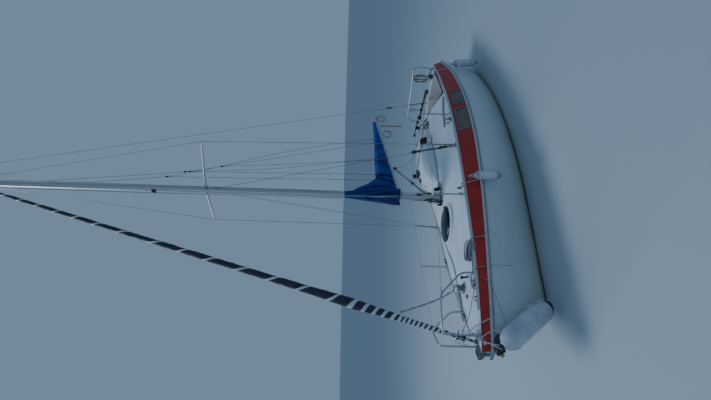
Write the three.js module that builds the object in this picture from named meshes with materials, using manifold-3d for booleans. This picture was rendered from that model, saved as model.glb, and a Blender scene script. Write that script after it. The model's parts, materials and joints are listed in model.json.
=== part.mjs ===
// A small fractional-rigged sailing yacht lying afloat, sails stowed.
// Millimetres. +X to the bow, +Y to port, +Z up. The origin is amidships on the
// centreline, in the plane of the waterline.
import * as THREE from 'three';
import { mergeVertices } from 'three/addons/utils/BufferGeometryUtils.js';
import Module from 'manifold-3d';

const wasm = await Module();
wasm.setup();

// Driving dimensions
const sternX = -3440;            // aftmost section at the rubbing strake
const stemFootX = 2534;          // where the raked stem meets the water
const gap = 0.3;                 // running gap between pieces that touch
const transomLean = 0.1;         // the transom's foot lies further forward than its top
const hullWall = 45;
const deckWall = 30;
const bulkheadX = -1600;         // aft bulkhead of the cabin
const seatZ = 660;               // cockpit seats
const soleZ = 250;               // floor of the foot well
const mast = { x: 320, footZ: 1175, topZ: 10150, rake: 0.0129, long: 115, wide: 85 };
const hounds = { z: 9080, shroudZ: 9250 };
const spreader = { z: 5208, half: 829, sweep: 204 };
const chainplate = { x: 76, y: 925 };
const gooseneck = { x: 215, z: 1900 };
const boomSize = { length: 2510, rise: 0.123, deep: 88, wide: 58 };
const stay = { footX: 3254, footZ: 1152, radius: 4 };
const backstayFoot = { x: -3360, y: -190 };  // beside the tiller, on the after deck
const railHeight = 470;          // lifelines above the deck

// Hull and deck lines: x, half-breadth and height of the rubbing strake,
// half-breadth and height of the deck edge, height of the deck's crown above
// its edge, exponent of the crown's curve
const lines = [
  { x: 3440, rail: 62, railZ: 981, deck: 44, deckZ: 1120, crown: 14, power: 2 },
  { x: 3033, rail: 273, railZ: 950, deck: 251, deckZ: 1094, crown: 44, power: 2 },
  { x: 2478, rail: 502, railZ: 915, deck: 476, deckZ: 1068, crown: 74, power: 2 },
  { x: 1714, rail: 772, railZ: 855, deck: 724, deckZ: 1056, crown: 104, power: 2 },
  { x: 1000, rail: 948, railZ: 799, deck: 885, deckZ: 1040, crown: 127, power: 2 },
  { x: 300, rail: 1060, railZ: 745, deck: 985, deckZ: 1016, crown: 155, power: 2.2 },
  { x: -370, rail: 1117, railZ: 704, deck: 1042, deckZ: 994, crown: 245, power: 2.6 },
  { x: -1000, rail: 1120, railZ: 677, deck: 1050, deckZ: 970, crown: 290, power: 3 },
  { x: -1600, rail: 1098, railZ: 665, deck: 1034, deckZ: 955, crown: 300, power: 3 },
  { x: -1640, rail: 1095, railZ: 665, deck: 1030, deckZ: 954, crown: 110, power: 2 },
  { x: -2453, rail: 997, railZ: 668, deck: 942, deckZ: 937, crown: 70, power: 2 },
  { x: -3000, rail: 890, railZ: 694, deck: 830, deckZ: 920, crown: 45, power: 2 },
  { x: -3440, rail: 790, railZ: 735, deck: 722, deckZ: 900, crown: 22, power: 2 },
];
// Lowest line of the hull: x, z
const keelLine = [
  { x: 3440, z: 950 }, { x: stemFootX, z: 0 }, { x: 2200, z: -150 }, { x: 1700, z: -262 },
  { x: 700, z: -360 }, { x: -400, z: -385 }, { x: -1400, z: -345 }, { x: -2453, z: -235 },
  { x: sternX, z: -95 },
];
// Half-breadth in the plane of the water
const waterLine = [
  { x: stemFootX, y: 0 }, { x: 1676, y: 322 }, { x: 531, y: 715 }, { x: -613, y: 925 },
  { x: -1757, y: 936 }, { x: -2616, y: 802 }, { x: -3188, y: 625 }, { x: sternX, y: 500 },
];
const stations = [
  3440, 3240, 3033, 2780, 2534, 2150, 1714, 1350, 1000, 650, 300, 0, -370, -700, -1000, -1300,
  bulkheadX, -1640, -2000, -2453, -2800, -3100, sternX,
];

// Value of a column at x, by a cubic through the neighbouring rows
function along(table, column, x) {
  const last = table.length - 1;
  if (x >= table[0].x) return table[0][column];
  if (x <= table[last].x) return table[last][column];
  const i = table.findIndex((row, k) => k < last && x <= row.x && x >= table[k + 1].x);
  const [a, b] = [table[i], table[i + 1]];
  const before = table[Math.max(i - 1, 0)];
  const after = table[Math.min(i + 2, last)];
  const slopeA = (b[column] - before[column]) / (b.x - before.x);
  const slopeB = (after[column] - a[column]) / (after.x - a.x);
  const step = b.x - a.x;
  const t = (x - a.x) / step;
  const bend = 2 * t ** 3 - 3 * t ** 2 + 1;
  return bend * a[column] + (1 - bend) * b[column]
    + (t ** 3 - 2 * t ** 2 + t) * step * slopeA + (t ** 3 - t ** 2) * step * slopeB;
}

// Straight interpolation, for the abrupt end of the cabin top
function straight(table, column, x) {
  const last = table.length - 1;
  if (x >= table[0].x) return table[0][column];
  if (x <= table[last].x) return table[last][column];
  const i = table.findIndex((row, k) => k < last && x <= row.x && x >= table[k + 1].x);
  const t = (x - table[i].x) / (table[i + 1].x - table[i].x);
  return table[i][column] + t * (table[i + 1][column] - table[i][column]);
}

const railY = (x) => along(lines, 'rail', x);
const railZ = (x) => along(lines, 'railZ', x);
const deckY = (x) => along(lines, 'deck', x);
const deckEdgeZ = (x) => along(lines, 'deckZ', x);
function deckZ(x, y) {
  const edge = deckY(x);
  const inboard = Math.min(Math.abs(y) / edge, 1);
  return deckEdgeZ(x) + straight(lines, 'crown', x) * (1 - inboard ** straight(lines, 'power', x));
}

// Geometry and solids
function geometryOf(positions, indices) {
  const geometry = new THREE.BufferGeometry();
  geometry.setAttribute('position', new THREE.Float32BufferAttribute(positions, 3));
  geometry.setIndex(indices);
  return geometry;
}

function solid(geometry) {
  const bare = new THREE.BufferGeometry();
  bare.setAttribute('position', geometry.getAttribute('position').clone());
  if (geometry.index) bare.setIndex(geometry.index.clone());
  const merged = mergeVertices(bare, 1e-3);
  const all = merged.index.array;
  const kept = [];
  for (let i = 0; i < all.length; i += 3) {
    const [a, b, c] = [all[i], all[i + 1], all[i + 2]];
    if (a !== b && b !== c && c !== a) kept.push(a, b, c);
  }
  return new wasm.Manifold(new wasm.Mesh({
    numProp: 3,
    vertProperties: new Float32Array(merged.attributes.position.array),
    triVerts: new Uint32Array(kept),
  }));
}

function geometryFrom(manifold) {
  const mesh = manifold.getMesh();
  const positions = [];
  for (let i = 0; i < mesh.vertProperties.length; i += mesh.numProp) {
    positions.push(mesh.vertProperties[i], mesh.vertProperties[i + 1], mesh.vertProperties[i + 2]);
  }
  return geometryOf(positions, Array.from(mesh.triVerts));
}

function signedVolume(positions, indices) {
  const at = (i) => new THREE.Vector3(...positions.slice(3 * i, 3 * i + 3));
  let volume = 0;
  for (let i = 0; i < indices.length; i += 3) {
    volume += at(indices[i]).dot(at(indices[i + 1]).cross(at(indices[i + 2]))) / 6;
  }
  return volume;
}

function outward(positions, indices) {
  if (signedVolume(positions, indices) > 0) return solid(geometryOf(positions, indices));
  const flipped = [];
  for (let i = 0; i < indices.length; i += 3) {
    flipped.push(indices[i], indices[i + 2], indices[i + 1]);
  }
  return solid(geometryOf(positions, flipped));
}

// Closed loft through loops of equal length, each lying about across one axis
function loft(loops, flat = (p) => [p[1], p[2]]) {
  const count = loops[0].length;
  const positions = loops.flat(2);
  const indices = [];
  for (let s = 0; s < loops.length - 1; s += 1) {
    for (let i = 0; i < count; i += 1) {
      const a = s * count + i;
      const b = s * count + (i + 1) % count;
      indices.push(a, b, a + count, b, b + count, a + count);
    }
  }
  [0, loops.length - 1].forEach((s) => {
    const outline = loops[s].map((p) => new THREE.Vector2(...flat(p)));
    const ring = Math.sign(THREE.ShapeUtils.area(outline));
    THREE.ShapeUtils.triangulateShape(outline, []).forEach((face) => {
      const same = Math.sign(THREE.ShapeUtils.area(face.map((i) => outline[i]))) === ring;
      const [a, b, c] = face.map((i) => s * count + i);
      if (same === (s > 0)) indices.push(a, b, c);
      else indices.push(a, c, b);
    });
  });
  return outward(positions, indices);
}

function box(x0, x1, y0, y1, z0, z1) {
  const geometry = new THREE.BoxGeometry(x1 - x0, y1 - y0, z1 - z0);
  geometry.translate((x0 + x1) / 2, (y0 + y1) / 2, (z0 + z1) / 2);
  return solid(geometry);
}

const point = (p) => new THREE.Vector3(...p);

// Round bar between two points, tapering if a second radius is given
function bar(from, to, radius, radiusTo = radius, sides = 12) {
  const [a, b] = [point(from), point(to)];
  const geometry = new THREE.CylinderGeometry(radiusTo, radius, a.distanceTo(b), sides);
  geometry.applyQuaternion(new THREE.Quaternion().setFromUnitVectors(
    new THREE.Vector3(0, 1, 0), b.clone().sub(a).normalize()));
  geometry.translate((a.x + b.x) / 2, (a.y + b.y) / 2, (a.z + b.z) / 2);
  return solid(geometry);
}

function ball(at, radius, sides = 10) {
  const geometry = new THREE.SphereGeometry(radius, sides, 6);
  geometry.translate(...at);
  return solid(geometry);
}

const joined = (pieces) => pieces.reduce((all, piece) => all.add(piece));

// Tube through a list of points, mitred at its bends
function pipe(points, radius, sides = 10) {
  const path = points.map(point);
  const last = path.length - 1;
  const heading = (i, k) => path[k].clone().sub(path[i]).normalize();
  let across = new THREE.Vector3(0.31, 0.83, 0.46);
  const rings = path.map((p, i) => {
    const ahead = new THREE.Vector3();
    if (i > 0) ahead.add(heading(i - 1, i));
    if (i < last) ahead.add(heading(i, i + 1));
    ahead.normalize();
    across = across.clone().addScaledVector(ahead, -across.dot(ahead)).normalize();
    const third = ahead.clone().cross(across);
    return Array.from({ length: sides }, (_, k) => {
      const turn = 2 * Math.PI * k / sides;
      return p.clone().addScaledVector(across, radius * Math.cos(turn))
        .addScaledVector(third, radius * Math.sin(turn)).toArray();
    });
  });
  const indices = [];
  for (let s = 0; s < last; s += 1) {
    for (let k = 0; k < sides; k += 1) {
      const a = s * sides + k;
      const b = s * sides + (k + 1) % sides;
      indices.push(a, b, a + sides, b, b + sides, a + sides);
    }
  }
  for (let k = 1; k < sides - 1; k += 1) {
    indices.push(0, k + 1, k, last * sides, last * sides + k, last * sides + k + 1);
  }
  return outward(rings.flat(2), indices);
}

// Points with each inner corner replaced by a short arc
function rounded(points, radius, steps = 3) {
  const path = [points[0]];
  for (let i = 1; i < points.length - 1; i += 1) {
    const [a, b, c] = [points[i - 1], points[i], points[i + 1]].map(point);
    const cut = Math.min(radius, a.distanceTo(b) / 2.1, b.distanceTo(c) / 2.1);
    const from = b.clone().add(a.clone().sub(b).setLength(cut));
    const to = b.clone().add(c.clone().sub(b).setLength(cut));
    const bend = new THREE.QuadraticBezierCurve3(from, b, to);
    bend.getPoints(steps).forEach((p) => path.push(p.toArray()));
  }
  path.push(points[points.length - 1]);
  return path;
}

// Solid of revolution about +Z from [radius, height] pairs
function turned(profile, at = [0, 0, 0], sides = 20) {
  const geometry = new THREE.LatheGeometry(profile.map((p) => new THREE.Vector2(...p)), sides);
  geometry.rotateX(Math.PI / 2);
  geometry.translate(...at);
  return outward(Array.from(geometry.attributes.position.array), Array.from(geometry.index.array));
}

// Plate in the XZ plane, thick about y
function plateXZ(corners, y, thick) {
  const shape = new THREE.Shape(corners.map((p) => new THREE.Vector2(...p)));
  const geometry = new THREE.ExtrudeGeometry(shape, { depth: thick, bevelEnabled: false });
  geometry.rotateX(Math.PI / 2);
  geometry.translate(0, y + thick / 2, 0);
  return solid(geometry);
}

// Carry a solid made upright at the origin to stand at one point, pointing at another
function placed(manifold, from, to) {
  const [a, b] = [point(from), point(to)];
  const turn = new THREE.Quaternion().setFromUnitVectors(
    new THREE.Vector3(0, 0, 1), b.clone().sub(a).normalize());
  const geometry = geometryFrom(manifold);
  geometry.applyMatrix4(new THREE.Matrix4().compose(a, turn, new THREE.Vector3(1, 1, 1)));
  return solid(geometry);
}

// Hull: half section at x as [y, z] from the lowest line up to the strake
function hullHalf(x, grow, raise) {
  const count = 9;
  const top = railZ(x);
  const low = Math.min(along(keelLine, 'z', x), top - 30);
  const bilge = THREE.MathUtils.clamp(0.5 + 0.33 * (x - 900) / (stemFootX - 900), 0.5, 0.83);
  let full = 1;
  if (x < 2420) {
    const afloat = -low / (top - low);
    const wide = (along(waterLine, 'y', x) / railY(x)) ** (1 / bilge);
    full = Math.log(1 - wide) / Math.log(1 - afloat);
  }
  const half = [];
  for (let i = 0; i <= count; i += 1) {
    const t = (i / count) ** 1.6;
    const y = railY(x) * (1 - (1 - t) ** full) ** bilge;
    half.push([y + grow * Math.min(1, y / 60), low + t * (top - low) - grow * (1 - t)]);
  }
  if (raise) half.push([half[count][0], top + raise]);
  return half;
}

function hullBody(grow, raise, places) {
  return loft(places.map((x, s) => {
    const lean = s === places.length - 1 ? transomLean : 0;
    const shifted = (z) => x + lean * (railZ(x) - z);
    const half = hullHalf(x, grow, raise);
    const port = half.slice(1).reverse().map(([y, z]) => [shifted(z), y, z]);
    const starboard = half.slice(1).map(([y, z]) => [shifted(z), -y, z]);
    return [...port, [shifted(half[0][1]), 0, half[0][1]], ...starboard];
  }));
}

// Deck moulding's outside: the band above the strake, then the crowned deck
function deckBody(grow, drop, places) {
  const across = [0.92, 0.8, 0.64, 0.44, 0.22, 0];
  return loft(places.map((x) => {
    const side = [
      [railY(x) + grow, railZ(x) + gap],
      [deckY(x) + grow, deckEdgeZ(x) + grow * 0.8],
      ...across.map((f) => [f * (deckY(x) + grow), deckZ(x, f * deckY(x)) + grow]),
    ];
    if (drop) side.unshift([railY(x) + grow, railZ(x) - drop]);
    const port = side.map(([y, z]) => [x, y, z]);
    const starboard = side.slice(0, -1).reverse().map(([y, z]) => [x, -y, z]);
    return [...port, ...starboard];
  }));
}

// Companionway hood: x, half-breadth, height of its top
const hoodStations = [
  { x: 70, half: 110, top: 1196 }, { x: -90, half: 240, top: 1325 }, { x: -300, half: 320, top: 1415 },
  { x: -600, half: 365, top: 1440 }, { x: -1100, half: 390, top: 1371 },
  { x: -1625, half: 400, top: 1299 },
];
function hoodBody(grow) {
  return loft(hoodStations.map(({ x, half, top }) => {
    const wide = half + grow;
    const crest = top + grow;
    const foot = deckZ(x, half) - 70;
    const rise = crest - deckZ(x, half);
    const side = [
      [wide, foot], [wide * 0.985, crest - 0.5 * rise], [wide * 0.9, crest - 0.2 * rise],
      [wide * 0.72, crest - 0.07 * rise], [wide * 0.4, crest - 0.015 * rise], [0, crest],
    ];
    const port = side.map(([y, z]) => [x, y, z]);
    const starboard = side.slice(0, -1).reverse().map(([y, z]) => [x, -y, z]);
    return [...port, ...starboard];
  }));
}

const spread = (places, extra) => [places[0] + extra, ...places.slice(1, -1),
  places[places.length - 1] - extra];
const hullCutter = hullBody(gap, 0, spread(stations, gap));
const deckCutter = deckBody(gap, 20, spread(stations, gap)).add(hoodBody(gap));
const seat = (piece) => piece.subtract(deckCutter).subtract(hullCutter);

// Scene graph: one group for each moving body
const yacht = new THREE.Group();
const bodies = {};
['hull', 'boom', 'rudder', 'foreHatch', 'slide', 'furler'].forEach((name) => {
  bodies[name] = new THREE.Group();
  yacht.add(bodies[name]);
});
const finish = {
  gelcoat: [0xe9ebe8, 0.35, 0], deck: [0xdfe3e4, 0.6, 0], rail: [0xaab2bb, 0.45, 0.3],
  alloy: [0xb9bdc2, 0.4, 0.8], steel: [0xc9ccd0, 0.22, 1], wire: [0x8d9196, 0.35, 0.9],
  canvas: [0x16389c, 0.85, 0], sail: [0x141b33, 0.8, 0], black: [0x15161a, 0.5, 0],
  smoke: [0x2a3138, 0.15, 0], wood: [0x5d3a22, 0.55, 0], antifoul: [0x1b2430, 0.8, 0],
  fender: [0xe6e4dc, 0.5, 0], iron: [0x3a3d42, 0.7, 0.2],
};
function piece(name, body, manifold, look) {
  const [color, roughness, metalness] = finish[look];
  const material = new THREE.MeshStandardMaterial({ color, roughness, metalness });
  const mesh = new THREE.Mesh(geometryFrom(manifold), material);
  mesh.name = name;
  bodies[body].add(mesh);
}
const bothSides = [{ side: 'port', sign: 1 }, { side: 'stbd', sign: -1 }];

// Hull shell, fin keel and rubbing strake
const inside = (from, to) => [from, ...stations.filter((x) => x < from && x > to), to];
const hullInner = hullBody(-hullWall, 80, inside(2450, sternX + hullWall));
piece('hull_shell', 'hull', hullBody(0, 0, stations).subtract(hullInner), 'gelcoat');

const keelSections = [ // height, leading edge, chord, half thickness
  { z: -300, nose: 470, chord: 1150, half: 62 }, { z: -700, nose: 330, chord: 960, half: 52 },
  { z: -1080, nose: 190, chord: 780, half: 46 }, { z: -1130, nose: 160, chord: 720, half: 30 },
];
const foil = [[0, 0], [0.04, 0.55], [0.15, 0.9], [0.35, 1], [0.6, 0.72], [0.85, 0.3], [1, 0.06]];
function foilLoop(z, nose, chord, half) {
  const port = foil.slice(1).map(([c, t]) => [nose - c * chord, t * half, z]);
  const starboard = foil.slice(1).reverse().map(([c, t]) => [nose - c * chord, -t * half, z]);
  return [[nose, 0, z], ...port, ...starboard];
}
const keel = loft(keelSections.map((k) => foilLoop(k.z, k.nose, k.chord, k.half)),
  (p) => [p[0], p[1]]);
piece('fin_keel', 'hull', keel.subtract(hullCutter), 'antifoul');

const strake = { proud: 28, up: 24, down: 27 };
function strakeLoop(x) {
  const y = railY(x) + strake.proud;
  const [high, low] = [railZ(x) + strake.up, railZ(x) - strake.down];
  return [[x, y - 8, high], [x, y, high - 12], [x, y, low + 12], [x, y - 8, low],
    [x, 8 - y, low], [x, -y, low + 12], [x, -y, high - 12], [x, 8 - y, high]];
}
piece('rubbing_strake', 'hull',
  seat(loft(spread(stations, 22).map(strakeLoop)).subtract(box(-3500, -3400, -75, 75, 600, 850))),
  'rail');

// Deck moulding with its windows, hatch, companionway and cockpit well
const cockpit = { fore: -1620, aft: -3080, margin: 120 };
const well = { fore: -1690, aft: -2980, half: 255, wall: 35 };
const hatch = { x: 1000, radius: 280, ring: 345, rise: 42 };
const companionway = { half: 240, fore: -1130, sill: 760 };
// Windows: corners as x, z of the cut opening, from the forward upper one
const windows = [
  { name: 'fore', corners: [[-215, 945], [-875, 908], [-900, 722], [-240, 748]] },
  { name: 'aft', corners: [[-1070, 893], [-1530, 876], [-1580, 700], [-1100, 712]] },
];
function cornered(corners, inset, radius = 42) {
  const middle = corners.reduce((m, p) => [m[0] + p[0] / 4, m[1] + p[1] / 4], [0, 0]);
  const pulled = corners.map(([x, z]) => [x - Math.sign(x - middle[0]) * inset,
    z - Math.sign(z - middle[1]) * inset]);
  const path = [];
  pulled.forEach((b, i) => {
    const [before, after] = [pulled[(i + 3) % 4], pulled[(i + 1) % 4]];
    const toward = (p) => {
      const d = Math.hypot(p[0] - b[0], p[1] - b[1]);
      return [b[0] + (p[0] - b[0]) * radius / d, b[1] + (p[1] - b[1]) * radius / d];
    };
    const [a, c] = [toward(before), toward(after)];
    const mid = [0.25 * a[0] + 0.5 * b[0] + 0.25 * c[0], 0.25 * a[1] + 0.5 * b[1] + 0.25 * c[1]];
    path.push(a, mid, c);
  });
  return path;
}
function plan(fore, aft, margin, z0, z1) {
  return loft(inside(fore, aft).map((x) => {
    const y = deckY(x) - margin;
    return [[x, y, z0(x)], [x, y, z1(x)], [x, -y, z1(x)], [x, -y, z0(x)]];
  }));
}
const deckInner = deckBody(-deckWall, 120, inside(2450, bulkheadX + 20));
const tub = plan(cockpit.fore + 20, cockpit.aft - 30, cockpit.margin - 30, () => seatZ - 40,
  (x) => railZ(x) + 30)
  .add(box(well.aft - well.wall, well.fore + well.wall, -well.half - well.wall,
    well.half + well.wall, soleZ - 35, seatZ));
const hoodInner = hoodBody(-deckWall).intersect(box(companionway.fore, -150, -500, 500, 1000, 1500));
const deckSolid = deckBody(0, 0, stations).add(hoodBody(0)).subtract(deckInner)
  .subtract(hoodInner).add(tub)
  .subtract(plan(cockpit.fore, cockpit.aft, cockpit.margin, () => seatZ, () => 1600))
  .subtract(box(well.aft, well.fore, -well.half, well.half, soleZ, 1200))
  .subtract(box(cockpit.fore - 60, cockpit.fore, -1200, 1200, 975, 1600))
  .subtract(box(cockpit.fore - 60, companionway.fore, -companionway.half, companionway.half,
    companionway.sill, 1600))
  .subtract(turned([[0, 0], [hatch.radius - 25, 0], [hatch.radius - 25, 400], [0, 400]],
    [hatch.x, 0, 950], 32));
const windowCut = joined(windows.map((w) => plateXZ(cornered(w.corners, 0), 0, 2600)));
piece('deck_moulding', 'hull', deckSolid.subtract(windowCut), 'deck');

const glazed = inside(0, -1599);
const pane = deckBody(-6, 0, glazed).subtract(deckBody(-12, 60, spread(glazed, 5)));
bothSides.forEach(({ side, sign }) => {
  windows.forEach((w) => {
    const cut = plateXZ(cornered(w.corners, gap), sign * 1000, 900);
    piece(`window_${w.name}_${side}`, 'hull', pane.intersect(cut), 'smoke');
  });
});

// Fore hatch: ring on the deck and a domed lid hinged at its forward edge
const hatchZ = deckZ(hatch.x, 0) + 12;
const ring = turned([[hatch.radius - 25, -70], [hatch.ring, -70], [hatch.ring - 6, 0],
  [hatch.radius + 18, 12], [hatch.radius + 18, 18], [hatch.radius - 25, 18], [hatch.radius - 25, -70]],
[hatch.x, 0, hatchZ], 32);
piece('fore_hatch_ring', 'hull', seat(ring), 'gelcoat');
const domeProfile = [[0, 0], [hatch.radius, 0], [hatch.radius + 4, 8], [hatch.radius - 6, 18],
  [hatch.radius * 0.75, 18 + hatch.rise * 0.45], [hatch.radius * 0.4, 18 + hatch.rise * 0.85],
  [0, 18 + hatch.rise]];
piece('fore_hatch_lid', 'foreHatch', turned(domeProfile, [hatch.x, 0, hatchZ + 18.3], 32), 'smoke');

// Companionway: runners, sliding hatch and washboards
const slideSlope = (1440 - 1299) / 1025;
const hoodTop = (x) => 1299 + slideSlope * (x + 1625);
const slideHatch = { fore: -1080, aft: -1650, half: 285, lift: 12, thick: 26 };
function alongHood(x0, x1, y0, y1, low, high) {
  return loft([x0, x1].map((x) => [[x, y0, hoodTop(x) + low], [x, y1, hoodTop(x) + low],
    [x, y1, hoodTop(x) + high], [x, y0, hoodTop(x) + high]]));
}
bothSides.forEach(({ side, sign }) => {
  const [y0, y1] = [sign * 256, sign * 276];
  piece(`hatch_runner_${side}`, 'hull',
    seat(alongHood(-640, -1618, y0, y1, -60, slideHatch.lift - gap)), 'wood');
});
piece('sliding_hatch', 'slide',
  alongHood(slideHatch.fore, slideHatch.aft, -slideHatch.half, slideHatch.half, slideHatch.lift,
    slideHatch.lift + slideHatch.thick), 'gelcoat');
piece('washboards', 'hull', box(-1612, -1598, -companionway.half + gap, companionway.half - gap,
  companionway.sill + gap, hoodTop(-1612) + 2), 'wood');

// Toe rails
function toeRail(sign, grow) {
  return loft(inside(2950, -3330).map((x) => {
    const [outer, inner] = [sign * (deckY(x) - 14 + grow), sign * (deckY(x) - 21)];
    const z = deckEdgeZ(x);
    return [[x, outer, z - 12], [x, outer, z + 34], [x, inner, z + 34], [x, inner, z - 12]];
  }));
}
bothSides.forEach(({ side, sign }) => {
  piece(`toe_rail_${side}`, 'hull', seat(toeRail(sign, 0)), 'alloy');
});

// Stem head fitting with the forestay's lug
const stem = { x: 3500, half: 36 };
const stemFitting = joined([
  box(3180, stem.x - 12, -stem.half, stem.half, 1090, 1141), box(3441, 3449, -30, 30, 1010, 1141),
  ...[-1, 1].map((s) => plateXZ([[3330, 1130], [stem.x, 1120], [stem.x, 1165], [3380, 1178],
    [3330, 1160]], s * (stem.half - 3), 6)),
  bar([stem.x - 22, -stem.half - 4, 1142], [stem.x - 22, stem.half + 4, 1142], 16),
  plateXZ([[3215, 1130], [3295, 1130], [3275, 1172], [3235, 1172]], 0, 10),
]);
piece('stem_fitting', 'hull', seat(stemFitting), 'iron');

// Pulpit halves, pushpit and stanchions
const tube = 12.5;
const pulpitHoop = (sign, radius) => pipe(rounded([[3250, sign * 118, 1105],
  [3232, sign * 132, 1604], [2800, sign * 392, 1604], [2442, sign * 424, 1275],
  [2440, sign * 424, 1090]], 70), radius);
bothSides.forEach(({ side, sign }) => {
  const at = (x, y, z) => [x, sign * y, z];
  const hoop = pulpitHoop(sign, tube);
  const feet = [at(3250, 118, 1100), at(2440, 424, 1080)].map((p) =>
    bar(p, [p[0], p[1], deckZ(p[0], p[1]) + 8], 30));
  piece(`pulpit_${side}`, 'hull', seat(joined([hoop, ...feet])), 'steel');
});
const pushpitX = -3385;
const hoopPoints = [[-3330, 655], [-3372, 690], [pushpitX, 640]];
const pushpitPath = rounded([
  [hoopPoints[0][0], hoopPoints[0][1], 890], [hoopPoints[1][0], hoopPoints[1][1], 1180],
  [hoopPoints[2][0], hoopPoints[2][1], 1335], [hoopPoints[2][0], -hoopPoints[2][1], 1335],
  [hoopPoints[1][0], -hoopPoints[1][1], 1180], [hoopPoints[0][0], -hoopPoints[0][1], 890],
], 90);
const pushpitLegs = [-1, 1].map((s) => bar([pushpitX, s * 390, 1335], [-3350, s * 390, 890], tube));
const pushpitFeet = [[-3330, 655], [-3330, -655], [-3353, 390], [-3353, -390]].map(([x, y]) =>
  bar([x, y, 880], [x, y, deckZ(x, y) + 7], 28));
piece('pushpit', 'hull',
  seat(joined([pipe(pushpitPath, tube), ...pushpitLegs, ...pushpitFeet])), 'steel');
const stanchionX = { fore: 1200, aft: -800 };
bothSides.forEach(({ side, sign }) => {
  Object.entries(stanchionX).forEach(([name, x]) => {
    const y = sign * (deckY(x) - 55);
    const deck = deckZ(x, y);
    const post = bar([x, y, deck - 15], [x, y, deck + railHeight], tube)
      .add(bar([x, y, deck - 15], [x, y, deck + 45], 17))
      .add(box(x - 35, x + 35, y - 22, y + 22, deck - 15, deck + 6))
      .add(ball([x, y, deck + railHeight], tube * 1.25));
    piece(`stanchion_${name}_${side}`, 'hull', seat(post), 'steel');
  });
});

// Mast: step, raked tube with its masthead crane, spreaders
const mastX = (z) => mast.x - mast.rake * (z - mast.footZ);
function oval(long, wide, sides = 20) {
  const ring = [];
  for (let i = 0; i < sides; i += 1) {
    const turn = 2 * Math.PI * i / sides;
    ring.push([long / 2 * Math.cos(turn), wide / 2 * Math.sin(turn)]);
  }
  return ring;
}
function mastBody(grow, z0, z1) {
  return loft([z0, z1].map((z) => oval(mast.long + 2 * grow, mast.wide + 2 * grow)
    .map(([x, y]) => [mastX(z) + x, y, z])), (p) => [p[0], p[1]]);
}
const stepTop = mast.footZ + 22;
piece('mast_step', 'hull', seat(box(mast.x - 95, mast.x + 95, -62, 62, 1130, stepTop)), 'iron');
const crane = { aft: 190, z: mast.topZ - 40 };
const mastSolid = mastBody(0, stepTop + gap, mast.topZ)
  .add(box(mastX(crane.z) - crane.aft, mastX(crane.z) + 85, -14, 14, crane.z, crane.z + 46))
  .add(plateXZ([[mastX(1450) - 40, 1405], [gooseneck.x - 20, 1405], [gooseneck.x - 20, 1425],
    [gooseneck.x + 24, 1425], [mastX(1450) - 40, 1450]], 0, 40));
piece('mast', 'hull', mastSolid, 'alloy');
bothSides.forEach(({ side, sign }) => {
  const root = [mastX(spreader.z) - 12, sign * 20, spreader.z];
  const tip = [mastX(spreader.z) - spreader.sweep, sign * spreader.half, spreader.z];
  const arm = bar(root, tip, 21, 14).add(ball(tip, 17))
    .subtract(mastBody(gap, spreader.z - 100, spreader.z + 100));
  piece(`spreader_${side}`, 'hull', arm, 'alloy');
});

// Gooseneck bracket, boom and rigid vang. Both swing on one upright axis.
const pinX = gooseneck.x;
const mastCutter = mastBody(gap, 1100, mast.topZ + 50);
const bracket = joined([
  box(pinX - 22, mastX(gooseneck.z), -20, 20, gooseneck.z - 46, gooseneck.z - 34),
  box(pinX - 22, mastX(gooseneck.z), -20, 20, gooseneck.z + 34, gooseneck.z + 46),
  box(mastX(gooseneck.z) - 66, mastX(gooseneck.z), -30, 30, gooseneck.z - 60, gooseneck.z + 60),
]).subtract(mastCutter);
piece('gooseneck_bracket', 'hull', bracket, 'steel');
const boomZ = (x) => gooseneck.z + boomSize.rise * (pinX - x);
const boomEnd = pinX - boomSize.length;
const boomLoops = [pinX - 55, boomEnd].map((x) => oval(boomSize.deep, boomSize.wide, 16)
  .map(([z, y]) => [x, y, boomZ(x) + z]));
const boomSolid = loft(boomLoops)
  .add(box(pinX - 60, pinX + 12, -11, 11, gooseneck.z - 34 + gap, gooseneck.z + 34 - gap))
  .add(box(boomEnd - 12, boomEnd + 60, -32, 32, boomZ(boomEnd) - 50, boomZ(boomEnd) + 50));
piece('boom', 'boom', boomSolid, 'alloy');
const vangFoot = [pinX - 2, 0, 1452];
const vangHead = [-500, 0, boomZ(-500) - boomSize.deep / 2 - 14];
const vangMid = vangFoot.map((v, i) => v + 0.52 * (vangHead[i] - v));
const vang = joined([bar(vangFoot, vangMid, 19), bar(vangMid, vangHead, 13),
  bar([pinX, 0, 1425 + gap], [pinX, 0, 1462], 20),
  box(-525, -475, -16, 16, vangHead[2] - 8, boomZ(-500) - 20)])
  .subtract(loft([pinX - 20, boomEnd].map((x) => oval(boomSize.deep + 2 * gap, boomSize.wide + 2 * gap,
    16).map(([z, y]) => [x, y, boomZ(x) + z]))));
piece('rigid_vang', 'boom', vang, 'alloy');

// Sail cover: a sleeve round the mast and a bag along the boom. The sleeve has a
// round back about the gooseneck's upright axis, and the bag swings round it.
const swing = { sleeve: 142, bag: 149, low: 1968, high: 2590 };
const upright = (radius, z0, z1) => turned([[0, z0], [radius, z0], [radius, z1], [0, z1]],
  [pinX, 0, 0], 32);
const coverRings = [ // height, x of the middle, half length, half width
  { z: 1915, x: 312, long: 112, wide: 128 }, { z: 2060, x: 306, long: 128, wide: 138 },
  { z: 2300, x: 290, long: 118, wide: 128 }, { z: 2560, x: 292, long: 96, wide: 100 },
  { z: 2780, x: 298, long: 80, wide: 72 }, { z: 2850, x: 299, long: 68, wide: 56 },
];
const sleeve = loft(coverRings.map((r) => oval(2 * r.long, 2 * r.wide, 16)
  .map(([x, y]) => [r.x + x, y, r.z])), (p) => [p[0], p[1]]);
const sleeveFoot = box(-200, pinX + 30, -300, 300, gooseneck.z - 80, swing.low);
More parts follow.
